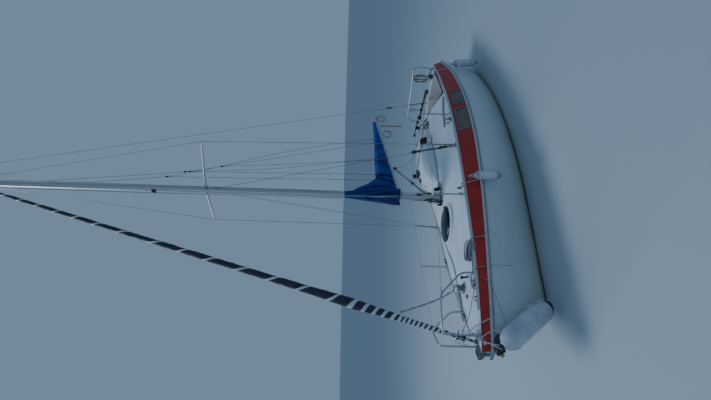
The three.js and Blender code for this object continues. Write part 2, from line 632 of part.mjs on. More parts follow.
piece('sail_cover_mast', 'hull', sleeve.subtract(sleeveFoot)
  .add(upright(swing.sleeve, swing.low, swing.high).intersect(box(-200, mastX(2300), -112, 112, 1900, 2600)))
  .subtract(mastCutter).subtract(bracket), 'canvas');
const bagRings = [ // x, lowest, highest, half width
  { x: 174, low: 1995, high: 2620, wide: 92 }, { x: 60, low: 1880, high: 2560, wide: 112 },
  { x: -60, low: 1880, high: 2400, wide: 118 }, { x: -200, low: 1895, high: 2298, wide: 112 },
  { x: -600, low: 1950, high: 2262, wide: 98 }, { x: -1200, low: 2030, high: 2258, wide: 78 },
  { x: -1900, low: 2125, high: 2262, wide: 52 }, { x: -2130, low: 2168, high: 2262, wide: 42 },
];
const bag = loft(bagRings.map((r) => oval(r.high - r.low, 2 * r.wide, 14)
  .map(([z, y]) => [r.x, y, (r.high + r.low) / 2 + z])));
const boomCutter = loft([pinX + 30, boomEnd - 20].map((x) =>
  oval(boomSize.deep + 2 * gap, boomSize.wide + 2 * gap, 16).map(([z, y]) => [x, y, boomZ(x) + z])));
piece('sail_cover_boom', 'boom', bag.subtract(boomCutter)
  .subtract(upright(swing.bag, 1500, 3000))
  .subtract(box(-1500, pinX, -300, 300, 1500, 1890))
  .subtract(box(-527, -473, -18, 18, 1850, 1960)), 'canvas');

// Forestay with furling drum, rolled headsail
const stayTop = [mastX(hounds.z) + mast.long / 2 + 4, 0, hounds.z];
const stayFoot = [stay.footX, 0, stay.footZ];
const stayLength = point(stayFoot).distanceTo(point(stayTop));
const onStay = (s) => point(stayFoot).lerp(point(stayTop), s / stayLength).toArray();
const forestay = joined([bar(stayFoot, stayTop, stay.radius, stay.radius, 8),
  bar(onStay(0), onStay(52), 12, 12, 8), bar(onStay(40), onStay(118), 9, 9, 8)]);
piece('forestay', 'hull', forestay.subtract(stemFitting).subtract(mastCutter), 'wire');
const bore = stay.radius + 0.4;
const drum = [[bore, 128], [30, 128], [30, 138], [66, 140], [66, 147], [34, 150], [34, 236], [66, 239],
  [66, 246], [30, 248], [22, 330], [bore, 330], [bore, 128]];
piece('furling_drum', 'furler', placed(turned(drum, [0, 0, 0], 20), stayFoot, stayTop), 'black');
const rollProfile = [[bore, 345], [30, 345], [34, 600], [52, 1300], [74, 1640], [70, 1800], [53, 2520],
  [46, 3300], [44, 4200], [36, 5200], [34, 6400], [30, 7300], [20, 7990], [bore, 7990], [bore, 345]];
piece('rolled_headsail', 'furler', placed(turned(rollProfile, [0, 0, 0], 16), stayFoot, stayTop),
  'sail');

// Shrouds, backstay and their plates
const wireRadius = 3.5;
bothSides.forEach(({ side, sign }) => {
  const foot = [chainplate.x, sign * chainplate.y, deckZ(chainplate.x, chainplate.y)];
  const plate = plateXZ([[foot[0] - 45, foot[2] - 20], [foot[0] + 45, foot[2] - 20],
    [foot[0] + 38, foot[2] + 26], [foot[0] - 38, foot[2] + 26]], foot[1], 10)
    .add(box(foot[0] - 60, foot[0] + 60, foot[1] - 22, foot[1] + 22, foot[2] - 25, foot[2] + 5));
  piece(`chainplate_${side}`, 'hull', seat(plate), 'steel');
  const clear = foot[2] + 26 + 2.2;
  const upperFoot = [foot[0] - 18, foot[1], clear];
  const lowerFoot = [foot[0] + 18, foot[1], clear];
  const tip = [mastX(spreader.z) - spreader.sweep, sign * (spreader.half + 22.5), spreader.z];
  const upperTop = [mastX(hounds.shroudZ) - 10, sign * 20, hounds.shroudZ];
  const lowerTop = [mastX(spreader.z - 100) - 10, sign * 20, spreader.z - 100];
  const screw = (from, to) => {
    const reach = point(from).distanceTo(point(to));
    const end = point(from).lerp(point(to), 330 / reach).toArray();
    return bar(from, end, 11, 11, 10);
  };
  const upper = joined([bar(upperFoot, tip, wireRadius, wireRadius, 8),
    bar(tip, upperTop, wireRadius, wireRadius, 8), ball(tip, 5, 8), screw(upperFoot, tip)]);
  piece(`upper_shroud_${side}`, 'hull', upper.subtract(mastCutter), 'wire');
  const lower = bar(lowerFoot, lowerTop, wireRadius, wireRadius, 8).add(screw(lowerFoot, lowerTop));
  piece(`lower_shroud_${side}`, 'hull', lower.subtract(mastCutter), 'wire');
});
const backPlateZ = deckZ(backstayFoot.x, backstayFoot.y);
const backPlate = box(-30, 30, -30, 30, -20, 6)
  .add(plateXZ([[-22, 0], [22, 0], [16, 40], [-12, 40]], 0, 8))
  .translate([backstayFoot.x, backstayFoot.y, backPlateZ]);
piece('backstay_plate', 'hull', seat(backPlate), 'steel');
const backFoot = [backstayFoot.x, backstayFoot.y, backPlateZ + 44.6];
const backTop = [mastX(crane.z) - crane.aft + 12, 0, crane.z - 1.7];
piece('backstay', 'hull', bar(backFoot, backTop, wireRadius, wireRadius, 8)
  .add(bar(backFoot, point(backFoot).lerp(point(backTop), 0.04).toArray(), 12, 12, 10)), 'wire');

// Rudder hung on the raked transom: gudgeons, blade, tiller, extension
const hinge = { off: 40, high: 930, low: -880 };
const hingeX = (z) => sternX - hinge.off + transomLean * (railZ(sternX) - z);
const hingeFoot = [hingeX(hinge.low), 0, hinge.low];
const hingeHead = [hingeX(hinge.high), 0, hinge.high];
const bladeHigh = point(hingeFoot).distanceTo(point(hingeHead));
const bladeOutline = [ // chord aft of the hinge, height above the foot
  [-18, 90], [60, 0], [300, 20], [345, 160], [350, 760], [300, 980], [170, 1180], [120, 1420],
  [112, bladeHigh], [-18, bladeHigh],
];
const gudgeons = [{ name: 'lower', up: 1030, thick: 14 }, { name: 'upper', up: 1560, thick: 14 }];
let blade = plateXZ(bladeOutline.map(([c, h]) => [-c, h]), 0, 38);
gudgeons.forEach(({ up, thick }) => {
  blade = blade.subtract(box(-24, 40, -60, 60, up - 4, up + thick + gap));
});
piece('rudder_blade', 'rudder', placed(blade, hingeFoot, hingeHead), 'gelcoat');
gudgeons.forEach(({ name, up, thick }) => {
  const lug = box(0, 60, -18, 18, up, up + thick)
    .add(turned([[0, up], [18, up], [18, up + thick], [0, up + thick]], [0, 0, 0], 16))
    .add(box(30, 60, -18, 18, up - 40, up + thick + 40));
  piece(`gudgeon_${name}`, 'hull', seat(placed(lug, hingeFoot, hingeHead)), 'steel');
});
const tillerFoot = [hingeHead[0] - 30, 0, 962];
const tillerEnd = [-2350, 0, 1245];
const tillerCheeks = [-1, 1].map((s) => box(hingeHead[0] - 95, hingeHead[0] + 20, s > 0 ? 19.3 : -26,
  s > 0 ? 26 : -19.3, 800, 975));
const tiller = joined([bar(tillerFoot, tillerEnd, 30, 17), ...tillerCheeks,
  box(hingeHead[0] - 95, hingeHead[0] + 20, -26, 26, hinge.high + 1, 975)])
  .subtract(placed(blade, hingeFoot, hingeHead));
piece('tiller', 'rudder', tiller, 'wood');
const joint = tillerEnd.map((v, i) => tillerFoot[i] + 0.97 * (v - tillerFoot[i]));
const extensionEnd = [-1625, 0, 1430];
const extension = joined([bar([joint[0] + 20, 0, joint[2] + 26], extensionEnd, 11, 11, 10),
  box(joint[0] - 14, joint[0] + 34, -14, 14, joint[2] + 14, joint[2] + 40),
  ball(extensionEnd, 15)]).subtract(bar(tillerFoot, tillerEnd, 30 + gap, 17 + gap));
piece('tiller_extension', 'rudder', extension, 'black');

// Winches and mooring gear on deck
const winchProfile = [[0, -60], [62, -60], [62, 22], [40, 30], [36, 90], [48, 102], [48, 112], [0, 116]];
const winches = [
  { name: 'winch_halyard', x: -560, y: -215, z: 1432 }, { name: 'winch_stbd', x: -895, y: -358, z: 1318 },
  { name: 'winch_port', x: -895, y: 358, z: 1318 },
];
winches.forEach(({ name, x, y, z }) => {
  piece(name, 'hull', seat(turned(winchProfile, [x, y, z], 16)), 'black');
});
const bitt = { x: 2350, high: 130 };
const bittZ = deckZ(bitt.x, 0);
piece('mooring_bitt', 'hull', seat(joined([
  box(bitt.x - 60, bitt.x + 60, -50, 50, bittZ - 30, bittZ + 10),
  bar([bitt.x, 0, bittZ], [bitt.x, 0, bittZ + bitt.high], 24),
  bar([bitt.x, -75, bittZ + 88], [bitt.x, 75, bittZ + 88], 10)])), 'steel');
const cleats = [
  { name: 'bow_cleat', x: 2560, inboard: 90 }, { name: 'stern_cleat', x: -2900, inboard: 62 },
];
cleats.forEach(({ name, x, inboard }) => {
  bothSides.forEach(({ side, sign }) => {
    const y = sign * (deckY(x) - inboard);
    const z = deckZ(x, y);
    piece(`${name}_${side}`, 'hull', seat(joined([
      box(x - 42, x + 42, y - 17, y + 17, z - 15, z + 9),
      ...[-1, 1].map((s) => bar([x + s * 24, y, z], [x + s * 30, y, z + 36], 9)),
      bar([x - 95, y, z + 40], [x + 95, y, z + 40], 10)])), 'alloy');
  });
});

// Fenders on their lanyards, tied to the toe rail and led down outside the strake
const lanyard = (x, end) => pipe([[x, deckY(x) - 10, deckEdgeZ(x) + 33], [x, deckY(x) + 9, deckEdgeZ(x)],
  [x, railY(x) + strake.proud + 9, railZ(x) + strake.up], end], 5, 8).subtract(toeRail(1, gap));
function fender(at, top, radius, body, tail) {
  const profile = [[0, 0], [radius * 0.3, 0], [radius * 0.42, tail], [radius * 0.85, tail + radius * 0.5],
    [radius, tail + radius * 1.1], [radius, body - tail - radius * 1.1],
    [radius * 0.85, body - tail - radius * 0.5], [radius * 0.42, body - tail], [radius * 0.3, body],
    [0, body]];
  return placed(turned(profile, [0, 0, 0], 18), at, top);
}
const midFender = { x: 1040, y: 1040, low: 520, body: 440, radius: 64 };
const midTop = [midFender.x, midFender.y, midFender.low + midFender.body];
piece('fender_port_mid', 'hull', joined([
  fender([midFender.x, midFender.y, midFender.low], midTop, midFender.radius, midFender.body, 30),
  lanyard(midFender.x, midTop)]), 'fender');
const quarter = { foot: [-2935, 1042, 95], top: [-2800, 1042, 640], radius: 76 };
const quarterLength = point(quarter.foot).distanceTo(point(quarter.top));
piece('fender_port_quarter', 'hull', joined([
  fender(quarter.foot, quarter.top, quarter.radius, quarterLength, 34),
  lanyard(quarter.top[0] + 10, quarter.top)]), 'fender');
const bow = { foot: [2800, 225, 105], top: [3470, 225, 900], radius: 152 };
const bowLength = point(bow.foot).distanceTo(point(bow.top));
piece('fender_bow', 'hull', joined([
  fender(bow.foot, bow.top, bow.radius, bowLength, 40),
  pipe([bow.top, [3330, 150, 1160], [3247, 133, 1185]], 6, 8)])
  .subtract(pulpitHoop(1, tube + gap)), 'fender');

export default yacht;
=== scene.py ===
# A small sailing yacht afloat with its sails stowed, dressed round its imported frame.
# Metres. +X to the bow, +Y to port, +Z up, and the water is at z = 0.
import json
import random
from math import atan, atan2, copysign, cos, exp, hypot, pi, radians, sin, sqrt

import bmesh
import bpy
import numpy as np
from mathutils import Matrix, Quaternion, Vector
from mathutils.bvhtree import BVHTree
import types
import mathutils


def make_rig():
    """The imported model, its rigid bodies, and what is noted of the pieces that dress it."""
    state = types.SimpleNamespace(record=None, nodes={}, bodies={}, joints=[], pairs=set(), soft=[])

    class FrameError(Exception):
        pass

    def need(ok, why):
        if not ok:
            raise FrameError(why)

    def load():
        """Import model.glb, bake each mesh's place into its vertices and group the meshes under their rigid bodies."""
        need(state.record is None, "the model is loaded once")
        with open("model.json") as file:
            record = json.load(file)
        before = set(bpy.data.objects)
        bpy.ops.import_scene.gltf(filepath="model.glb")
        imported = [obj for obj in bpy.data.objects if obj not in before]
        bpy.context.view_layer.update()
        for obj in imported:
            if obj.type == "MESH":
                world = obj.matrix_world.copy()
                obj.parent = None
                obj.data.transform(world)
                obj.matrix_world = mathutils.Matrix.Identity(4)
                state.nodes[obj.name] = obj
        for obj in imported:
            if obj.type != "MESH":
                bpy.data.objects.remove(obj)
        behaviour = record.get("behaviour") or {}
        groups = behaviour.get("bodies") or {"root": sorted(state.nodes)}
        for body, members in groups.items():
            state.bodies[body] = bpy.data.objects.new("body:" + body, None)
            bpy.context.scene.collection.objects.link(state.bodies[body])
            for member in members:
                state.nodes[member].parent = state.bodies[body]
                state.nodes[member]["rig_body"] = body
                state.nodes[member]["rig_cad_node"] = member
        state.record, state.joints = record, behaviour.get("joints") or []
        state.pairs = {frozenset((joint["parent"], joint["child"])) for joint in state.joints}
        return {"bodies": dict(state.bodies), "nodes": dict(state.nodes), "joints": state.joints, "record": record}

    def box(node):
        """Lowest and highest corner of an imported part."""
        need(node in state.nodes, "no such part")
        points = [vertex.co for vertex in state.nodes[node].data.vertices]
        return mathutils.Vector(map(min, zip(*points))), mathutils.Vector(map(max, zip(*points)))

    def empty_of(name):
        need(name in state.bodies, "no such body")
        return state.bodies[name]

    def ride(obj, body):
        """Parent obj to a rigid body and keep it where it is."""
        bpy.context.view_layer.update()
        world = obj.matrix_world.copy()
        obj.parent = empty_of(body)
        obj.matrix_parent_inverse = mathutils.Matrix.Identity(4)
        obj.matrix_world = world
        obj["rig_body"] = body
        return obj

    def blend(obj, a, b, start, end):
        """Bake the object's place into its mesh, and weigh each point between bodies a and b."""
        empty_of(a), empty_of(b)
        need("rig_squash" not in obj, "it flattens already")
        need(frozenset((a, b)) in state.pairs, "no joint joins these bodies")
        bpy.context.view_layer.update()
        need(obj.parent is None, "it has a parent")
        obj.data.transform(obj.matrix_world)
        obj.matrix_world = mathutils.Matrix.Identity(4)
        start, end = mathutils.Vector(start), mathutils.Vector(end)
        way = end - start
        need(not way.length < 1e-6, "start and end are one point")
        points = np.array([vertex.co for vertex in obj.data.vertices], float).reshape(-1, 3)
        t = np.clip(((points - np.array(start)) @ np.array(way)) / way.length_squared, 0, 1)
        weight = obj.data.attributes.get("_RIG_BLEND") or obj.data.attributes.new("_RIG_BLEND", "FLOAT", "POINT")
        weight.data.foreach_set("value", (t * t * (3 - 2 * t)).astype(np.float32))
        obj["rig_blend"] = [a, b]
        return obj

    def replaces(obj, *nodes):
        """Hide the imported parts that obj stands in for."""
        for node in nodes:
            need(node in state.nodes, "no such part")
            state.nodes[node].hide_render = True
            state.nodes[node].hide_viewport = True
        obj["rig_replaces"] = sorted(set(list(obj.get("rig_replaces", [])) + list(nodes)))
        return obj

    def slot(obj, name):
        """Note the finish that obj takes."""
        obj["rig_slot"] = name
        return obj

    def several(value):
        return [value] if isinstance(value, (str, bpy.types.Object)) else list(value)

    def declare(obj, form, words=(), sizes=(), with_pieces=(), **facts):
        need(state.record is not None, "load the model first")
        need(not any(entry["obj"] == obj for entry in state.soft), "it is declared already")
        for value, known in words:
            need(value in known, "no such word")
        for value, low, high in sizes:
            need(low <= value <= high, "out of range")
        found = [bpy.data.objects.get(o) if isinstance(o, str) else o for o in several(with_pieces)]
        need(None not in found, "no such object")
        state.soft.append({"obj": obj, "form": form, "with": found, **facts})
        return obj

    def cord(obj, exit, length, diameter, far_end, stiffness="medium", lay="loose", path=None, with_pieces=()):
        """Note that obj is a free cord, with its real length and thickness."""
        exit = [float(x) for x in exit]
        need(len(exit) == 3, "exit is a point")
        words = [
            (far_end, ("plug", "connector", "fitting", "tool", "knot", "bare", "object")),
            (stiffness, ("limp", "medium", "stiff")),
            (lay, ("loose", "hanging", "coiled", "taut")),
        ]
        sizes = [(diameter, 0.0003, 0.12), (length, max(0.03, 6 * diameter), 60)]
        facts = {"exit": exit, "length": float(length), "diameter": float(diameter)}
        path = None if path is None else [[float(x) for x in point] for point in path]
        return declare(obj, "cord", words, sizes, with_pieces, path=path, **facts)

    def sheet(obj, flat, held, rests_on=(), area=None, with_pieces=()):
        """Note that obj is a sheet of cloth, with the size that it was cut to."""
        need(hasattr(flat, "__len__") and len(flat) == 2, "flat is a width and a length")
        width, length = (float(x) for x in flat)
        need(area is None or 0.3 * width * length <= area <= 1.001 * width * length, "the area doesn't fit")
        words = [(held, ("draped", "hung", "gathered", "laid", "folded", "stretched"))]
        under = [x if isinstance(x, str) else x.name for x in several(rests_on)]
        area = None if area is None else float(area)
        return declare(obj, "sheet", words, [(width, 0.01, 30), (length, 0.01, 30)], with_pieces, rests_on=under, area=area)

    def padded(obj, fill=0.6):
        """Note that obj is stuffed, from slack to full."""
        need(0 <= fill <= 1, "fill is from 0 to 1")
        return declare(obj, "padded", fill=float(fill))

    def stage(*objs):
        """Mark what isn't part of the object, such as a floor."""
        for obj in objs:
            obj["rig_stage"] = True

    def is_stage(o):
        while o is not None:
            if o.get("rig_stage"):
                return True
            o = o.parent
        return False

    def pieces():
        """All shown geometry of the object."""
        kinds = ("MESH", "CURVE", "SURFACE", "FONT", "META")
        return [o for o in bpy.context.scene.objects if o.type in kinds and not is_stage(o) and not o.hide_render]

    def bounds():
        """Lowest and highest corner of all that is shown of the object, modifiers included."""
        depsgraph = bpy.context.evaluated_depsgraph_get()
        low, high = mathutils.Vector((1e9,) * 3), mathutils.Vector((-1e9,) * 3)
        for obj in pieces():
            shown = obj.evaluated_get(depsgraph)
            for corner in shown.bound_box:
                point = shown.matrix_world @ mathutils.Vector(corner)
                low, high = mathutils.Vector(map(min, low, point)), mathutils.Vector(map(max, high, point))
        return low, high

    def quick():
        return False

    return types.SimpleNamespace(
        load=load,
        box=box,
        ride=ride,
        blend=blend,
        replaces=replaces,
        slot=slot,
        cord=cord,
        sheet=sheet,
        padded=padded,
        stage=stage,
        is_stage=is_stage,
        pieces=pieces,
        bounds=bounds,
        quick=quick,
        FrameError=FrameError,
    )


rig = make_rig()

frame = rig.load()
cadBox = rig.bounds()
cad = frame["nodes"]
up = Vector((0, 0, 1))
sides = (("port", 1), ("stbd", -1))


def vec(x, y, z):
    return Vector((x, y, z))


# Rows of numbers given in millimetres
def mm(*rows):
    return [tuple(part / 1000 for part in row) for row in rows]


def circle(count):
    return [2 * pi * k / count for k in range(count)]


def helix(turns, steps=24):
    return [2 * pi * k / steps for k in range(turns * steps)]


def clamp(value, low=0):
    return min(1, max(low, value))


# Camera: its place and turn are the photograph's, which lies on its side
camera = dict(place=(7.177, 5.577, 3.028), ahead=(-0.76972, -0.63698, -0.04227), roll=-88.64, lens=26.07)
cameraData = bpy.data.cameras.new("camera")
cameraData.lens = camera["lens"]
cameraData.sensor_width = 36
cameraData.clip_end = 400
cameraObject = bpy.data.objects.new("camera", cameraData)
cameraObject.location = camera["place"]
cameraObject.rotation_mode = "QUATERNION"
turn = Vector(camera["ahead"]).to_track_quat("-Z", "Y")
cameraObject.rotation_quaternion = turn @ Quaternion((0, 0, 1), radians(camera["roll"]))
bpy.context.scene.collection.objects.link(cameraObject)
bpy.context.scene.camera = cameraObject
print("camera placed")


# Materials: small helpers for node trees
def newMaterial(name, **values):
    made = bpy.data.materials.new(name)
    made.use_nodes = True
    shader = made.node_tree.nodes["Principled BSDF"]
    for socket, value in values.items():
        shader.inputs[socket.replace("_", " ")].default_value = value
    return made, made.node_tree, shader


def node(tree, kind, settings=None, **inputs):
    made = tree.nodes.new("ShaderNode" + kind)
    for name, value in (settings or {}).items():
        setattr(made, name, value)
    for name, value in inputs.items():
        socket = made.inputs[name.replace("_", " ")]
        if isinstance(value, bpy.types.NodeSocket):
            tree.links.new(value, socket)
        else:
            socket.default_value = value
    return made


def coordinates(tree, scale=(1, 1, 1)):
    texture = node(tree, "TexCoord")
    mapping = node(tree, "Mapping", Vector=texture.outputs["Object"], Scale=scale)
    return mapping.outputs["Vector"]


def noise(tree, place, scale, detail=4, rough=0.55):
    made = node(tree, "TexNoise", Vector=place, Scale=scale, Detail=detail, Roughness=rough)
    return made.outputs["Fac"]


def ramp(tree, factor, *stops):
    made = node(tree, "ValToRGB", Fac=factor)
    elements = made.color_ramp.elements
    while len(elements) < len(stops):
        elements.new(0.5)
    for element, (position, colour) in zip(elements, stops):
        element.position = position
        element.color = (*colour, 1)
    return made.outputs["Color"]


def grey(value):
    return (value, value, value)


def mix(tree, factor, first, second, blend="MIX"):
    made = tree.nodes.new("ShaderNodeMix")
    made.data_type = "RGBA"
    made.blend_type = blend
    for index, value in ((0, factor), (6, first), (7, second)):
        if isinstance(value, bpy.types.NodeSocket):
            tree.links.new(value, made.inputs[index])
        elif index == 0:
            made.inputs[index].default_value = value
        else:
            made.inputs[index].default_value = (*value, 1)
    return made.outputs[2]


def maths(tree, operation, first, second=0):
    made = tree.nodes.new("ShaderNodeMath")
    made.operation = operation
    for index, value in enumerate((first, second)):
        if isinstance(value, bpy.types.NodeSocket):
            tree.links.new(value, made.inputs[index])
        else:
            made.inputs[index].default_value = value
    return made.outputs[0]


def parts(tree, vector):
    return node(tree, "SeparateXYZ", Vector=vector).outputs


def bump(tree, shader, height, distance, strength=1):
    made = node(tree, "Bump", Height=height, Distance=distance, Strength=strength)
    tree.links.new(made.outputs["Normal"], shader.inputs["Normal"])


def setColour(tree, shader, colour, gloss=None):
    tree.links.new(colour, shader.inputs["Base Color"])
    if gloss is not None:
        tree.links.new(gloss, shader.inputs["Roughness"])


def toUnit(tree, value, low=-1, high=1):
    return node(tree, "MapRange", Value=value, From_Min=low, From_Max=high).outputs["Result"]


# A finish in layers: tones spread by clouds or another measure, darker veils, uneven gloss and a grain
def layered(name, tones, clouds=(9, 4, 0.55), veils=(), gloss=(36, 0.4, 0.6), grain=(260, 3, 0.0002, 1),
        stretch=(1, 1, 1), measure=None, **values):
    made, tree, shader = newMaterial(name, **values)
    place = coordinates(tree, stretch)
    colour = ramp(tree, measure(tree, place) if measure else noise(tree, place, *clouds), *tones)
    for veilStretch, veilClouds, *stops in veils:
        veil = noise(tree, coordinates(tree, veilStretch) if veilStretch else place, *veilClouds)
        colour = mix(tree, 1, colour, ramp(tree, veil, *stops), "MULTIPLY")
    scale, low, high = gloss
    setColour(tree, shader, colour, ramp(tree, noise(tree, place, scale), (0.3, grey(low)),
        (0.75, grey(high))))
    size, detail, distance, strength = grain
    bump(tree, shader, noise(tree, place, size, detail), distance, strength)
    return made


def plainFinish(name, colour, worn, rough, metal=0, scale=30, grain=(260, 0.0002), **more):
    return layered(name, ((0.35, colour), (0.72, worn)), (scale,), (), (scale * 4, *rough),
        (grain[0], 3, grain[1], 1), Metallic=metal, **more)


# Satin gelcoat with a fine stipple and faint grime
def deckFinish(name, clean, worn):
    return layered(name, ((0.38, clean), (0.78, worn)), (2.6, 6, 0.62),
        [(None, (55, 2), (0.6, grey(1)), (0.78, grey(0.9)))], (20, 0.42, 0.62), (420, 2, 0.0007, 0.6))


# Anodised spar: long streaks, duller and brighter patches
def sparFinish(name, stretch, bright, dull):
    return layered(name, ((0.3, bright), (0.75, dull)), (6, 6, 0.6), (), (22, 0.34, 0.52), (90, 4, 0.0003, 1),
        stretch, Metallic=0.55)


# Height over the water, a little ragged, as a share of the stained part of the topsides
def stainHeight(tree, place):
    ragged = maths(tree, "MULTIPLY", maths(tree, "SUBTRACT", noise(tree, place, 5), 0.5), 0.05)
    return toUnit(tree, maths(tree, "ADD", parts(tree, place)["Z"], ragged), 0, 0.55)


# Painted light: how far a face turns up, from 0 facing down to 1 facing up, so that tops are painted lighter and
# undersides darker
def paintedLightByFacing(tree, place):
    return toUnit(tree, parts(tree, node(tree, "NewGeometry").outputs["Normal"])["Z"])


# Woven canvas: a fine plain weave, faded in patches, with a soft sheen; a shaded one is darkened by painted shade
# inside its folds
def canvasFinish(name, deep, faded, pitch=0.0016, sheen=0.25, shaded=False):
    made, tree, shader = newMaterial(name, Sheen_Weight=sheen, Sheen_Roughness=0.5)
    place = coordinates(tree)
    x, y, z = (parts(tree, place)[axis] for axis in "XYZ")
    turns = 2 * pi / pitch
    warp = maths(tree, "SINE", maths(tree, "MULTIPLY", maths(tree, "ADD", x, y), turns))
    weft = maths(tree, "SINE", maths(tree, "MULTIPLY", z, turns))
    weave = maths(tree, "MULTIPLY", warp, weft)
    cloudy = noise(tree, place, 3.5, 5, 0.6)
    colour = mix(tree, 1, ramp(tree, cloudy, (0.3, deep), (0.75, faded)),
        ramp(tree, weave, (0, grey(0.86)), (1, grey(1))), "MULTIPLY")
    # Painted shade: a per-point attribute darkens the cloth's colour in its folds
    if shaded:
        depth = node(tree, "Attribute", dict(attribute_name="foldDepth")).outputs["Fac"]
        shade = ramp(tree, depth, (0.05, grey(0.16)), (0.45, grey(0.55)), (0.85, grey(1)))
        colour = mix(tree, 1, colour, shade, "MULTIPLY")
    setColour(tree, shader, colour, ramp(tree, cloudy, (0.3, grey(0.78)), (0.75, grey(0.92))))
    creases = noise(tree, coordinates(tree, (1, 1, 0.35)), 16, 5, 0.6)
    bump(tree, shader, maths(tree, "ADD", maths(tree, "MULTIPLY", weave, 0.06), creases), 0.006, 0.55)
    return made


# Laid or plaited rope: strands follow the piece's own map, turns across and diameters along
def ropeFinish(name, light, dark, fleck=None, strands=3, lay=0.85, plaited=False):
    made, tree, shader = newMaterial(name, Roughness=0.85)
    texture = node(tree, "TexCoord")
    spot = parts(tree, texture.outputs["UV"])
    across = maths(tree, "MULTIPLY", spot["X"], strands)
    along = maths(tree, "MULTIPLY", spot["Y"], lay)

    def strand(operation):
        turned = maths(tree, "MULTIPLY", maths(tree, operation, across, along), 2 * pi)
        return toUnit(tree, maths(tree, "SINE", turned))

    height = strand("ADD")
    if plaited:
        height = maths(tree, "MAXIMUM", height, strand("SUBTRACT"))
    grime = ramp(tree, noise(tree, texture.outputs["Object"], 22), (0.45, grey(0)), (0.8, grey(0.45)))
    colour = mix(tree, grime, ramp(tree, height, (0, dark), (0.45, light)), dark)
    if fleck:
        slant = maths(tree, "FRACT", maths(tree, "ADD", spot["X"], maths(tree, "MULTIPLY", along, 0.5)))
        colour = mix(tree, ramp(tree, slant, (0.8, grey(0)), (0.84, grey(1))), colour, fleck)
    setColour(tree, shader, colour)
    bump(tree, shader, height, 0.0016, 0.9)
    return made


# Wound headsail: the map's first part counts turns of the strip, its second is the white part of a turn
def rollFinish():
    made, tree, shader = newMaterial("woundSail", Sheen_Weight=0.15, Roughness=0.72)
    texture = node(tree, "TexCoord")
    spot = parts(tree, texture.outputs["UV"])
    place = texture.outputs["Object"]
    white = maths(tree, "LESS_THAN", maths(tree, "FRACT", spot["X"]), spot["Y"])
    navy = ramp(tree, noise(tree, place, 9, 5), (0.3, (0.01, 0.013, 0.032)), (0.75, (0.022, 0.027, 0.055)))
    cloth = ramp(tree, noise(tree, place, 12, 5), (0.3, (0.62, 0.66, 0.68)), (0.75, (0.44, 0.48, 0.52)))
    setColour(tree, shader, mix(tree, white, navy, cloth))
    bump(tree, shader, noise(tree, coordinates(tree, (1, 1, 0.4)), 26, 5), 0.004, 0.5)
    return made


# Varnished wood with its grain along one axis
def woodFinish(name, light, dark):
    made, tree, shader = newMaterial(name, Coat_Weight=0.2, Coat_Roughness=0.35)
    grain = noise(tree, coordinates(tree, (1, 14, 14)), 7, 8, 0.65)
    setColour(tree, shader, ramp(tree, grain, (0.32, dark), (0.66, light)),
        ramp(tree, grain, (0.3, grey(0.62)), (0.75, grey(0.42))))
    bump(tree, shader, grain, 0.0008)
    return made


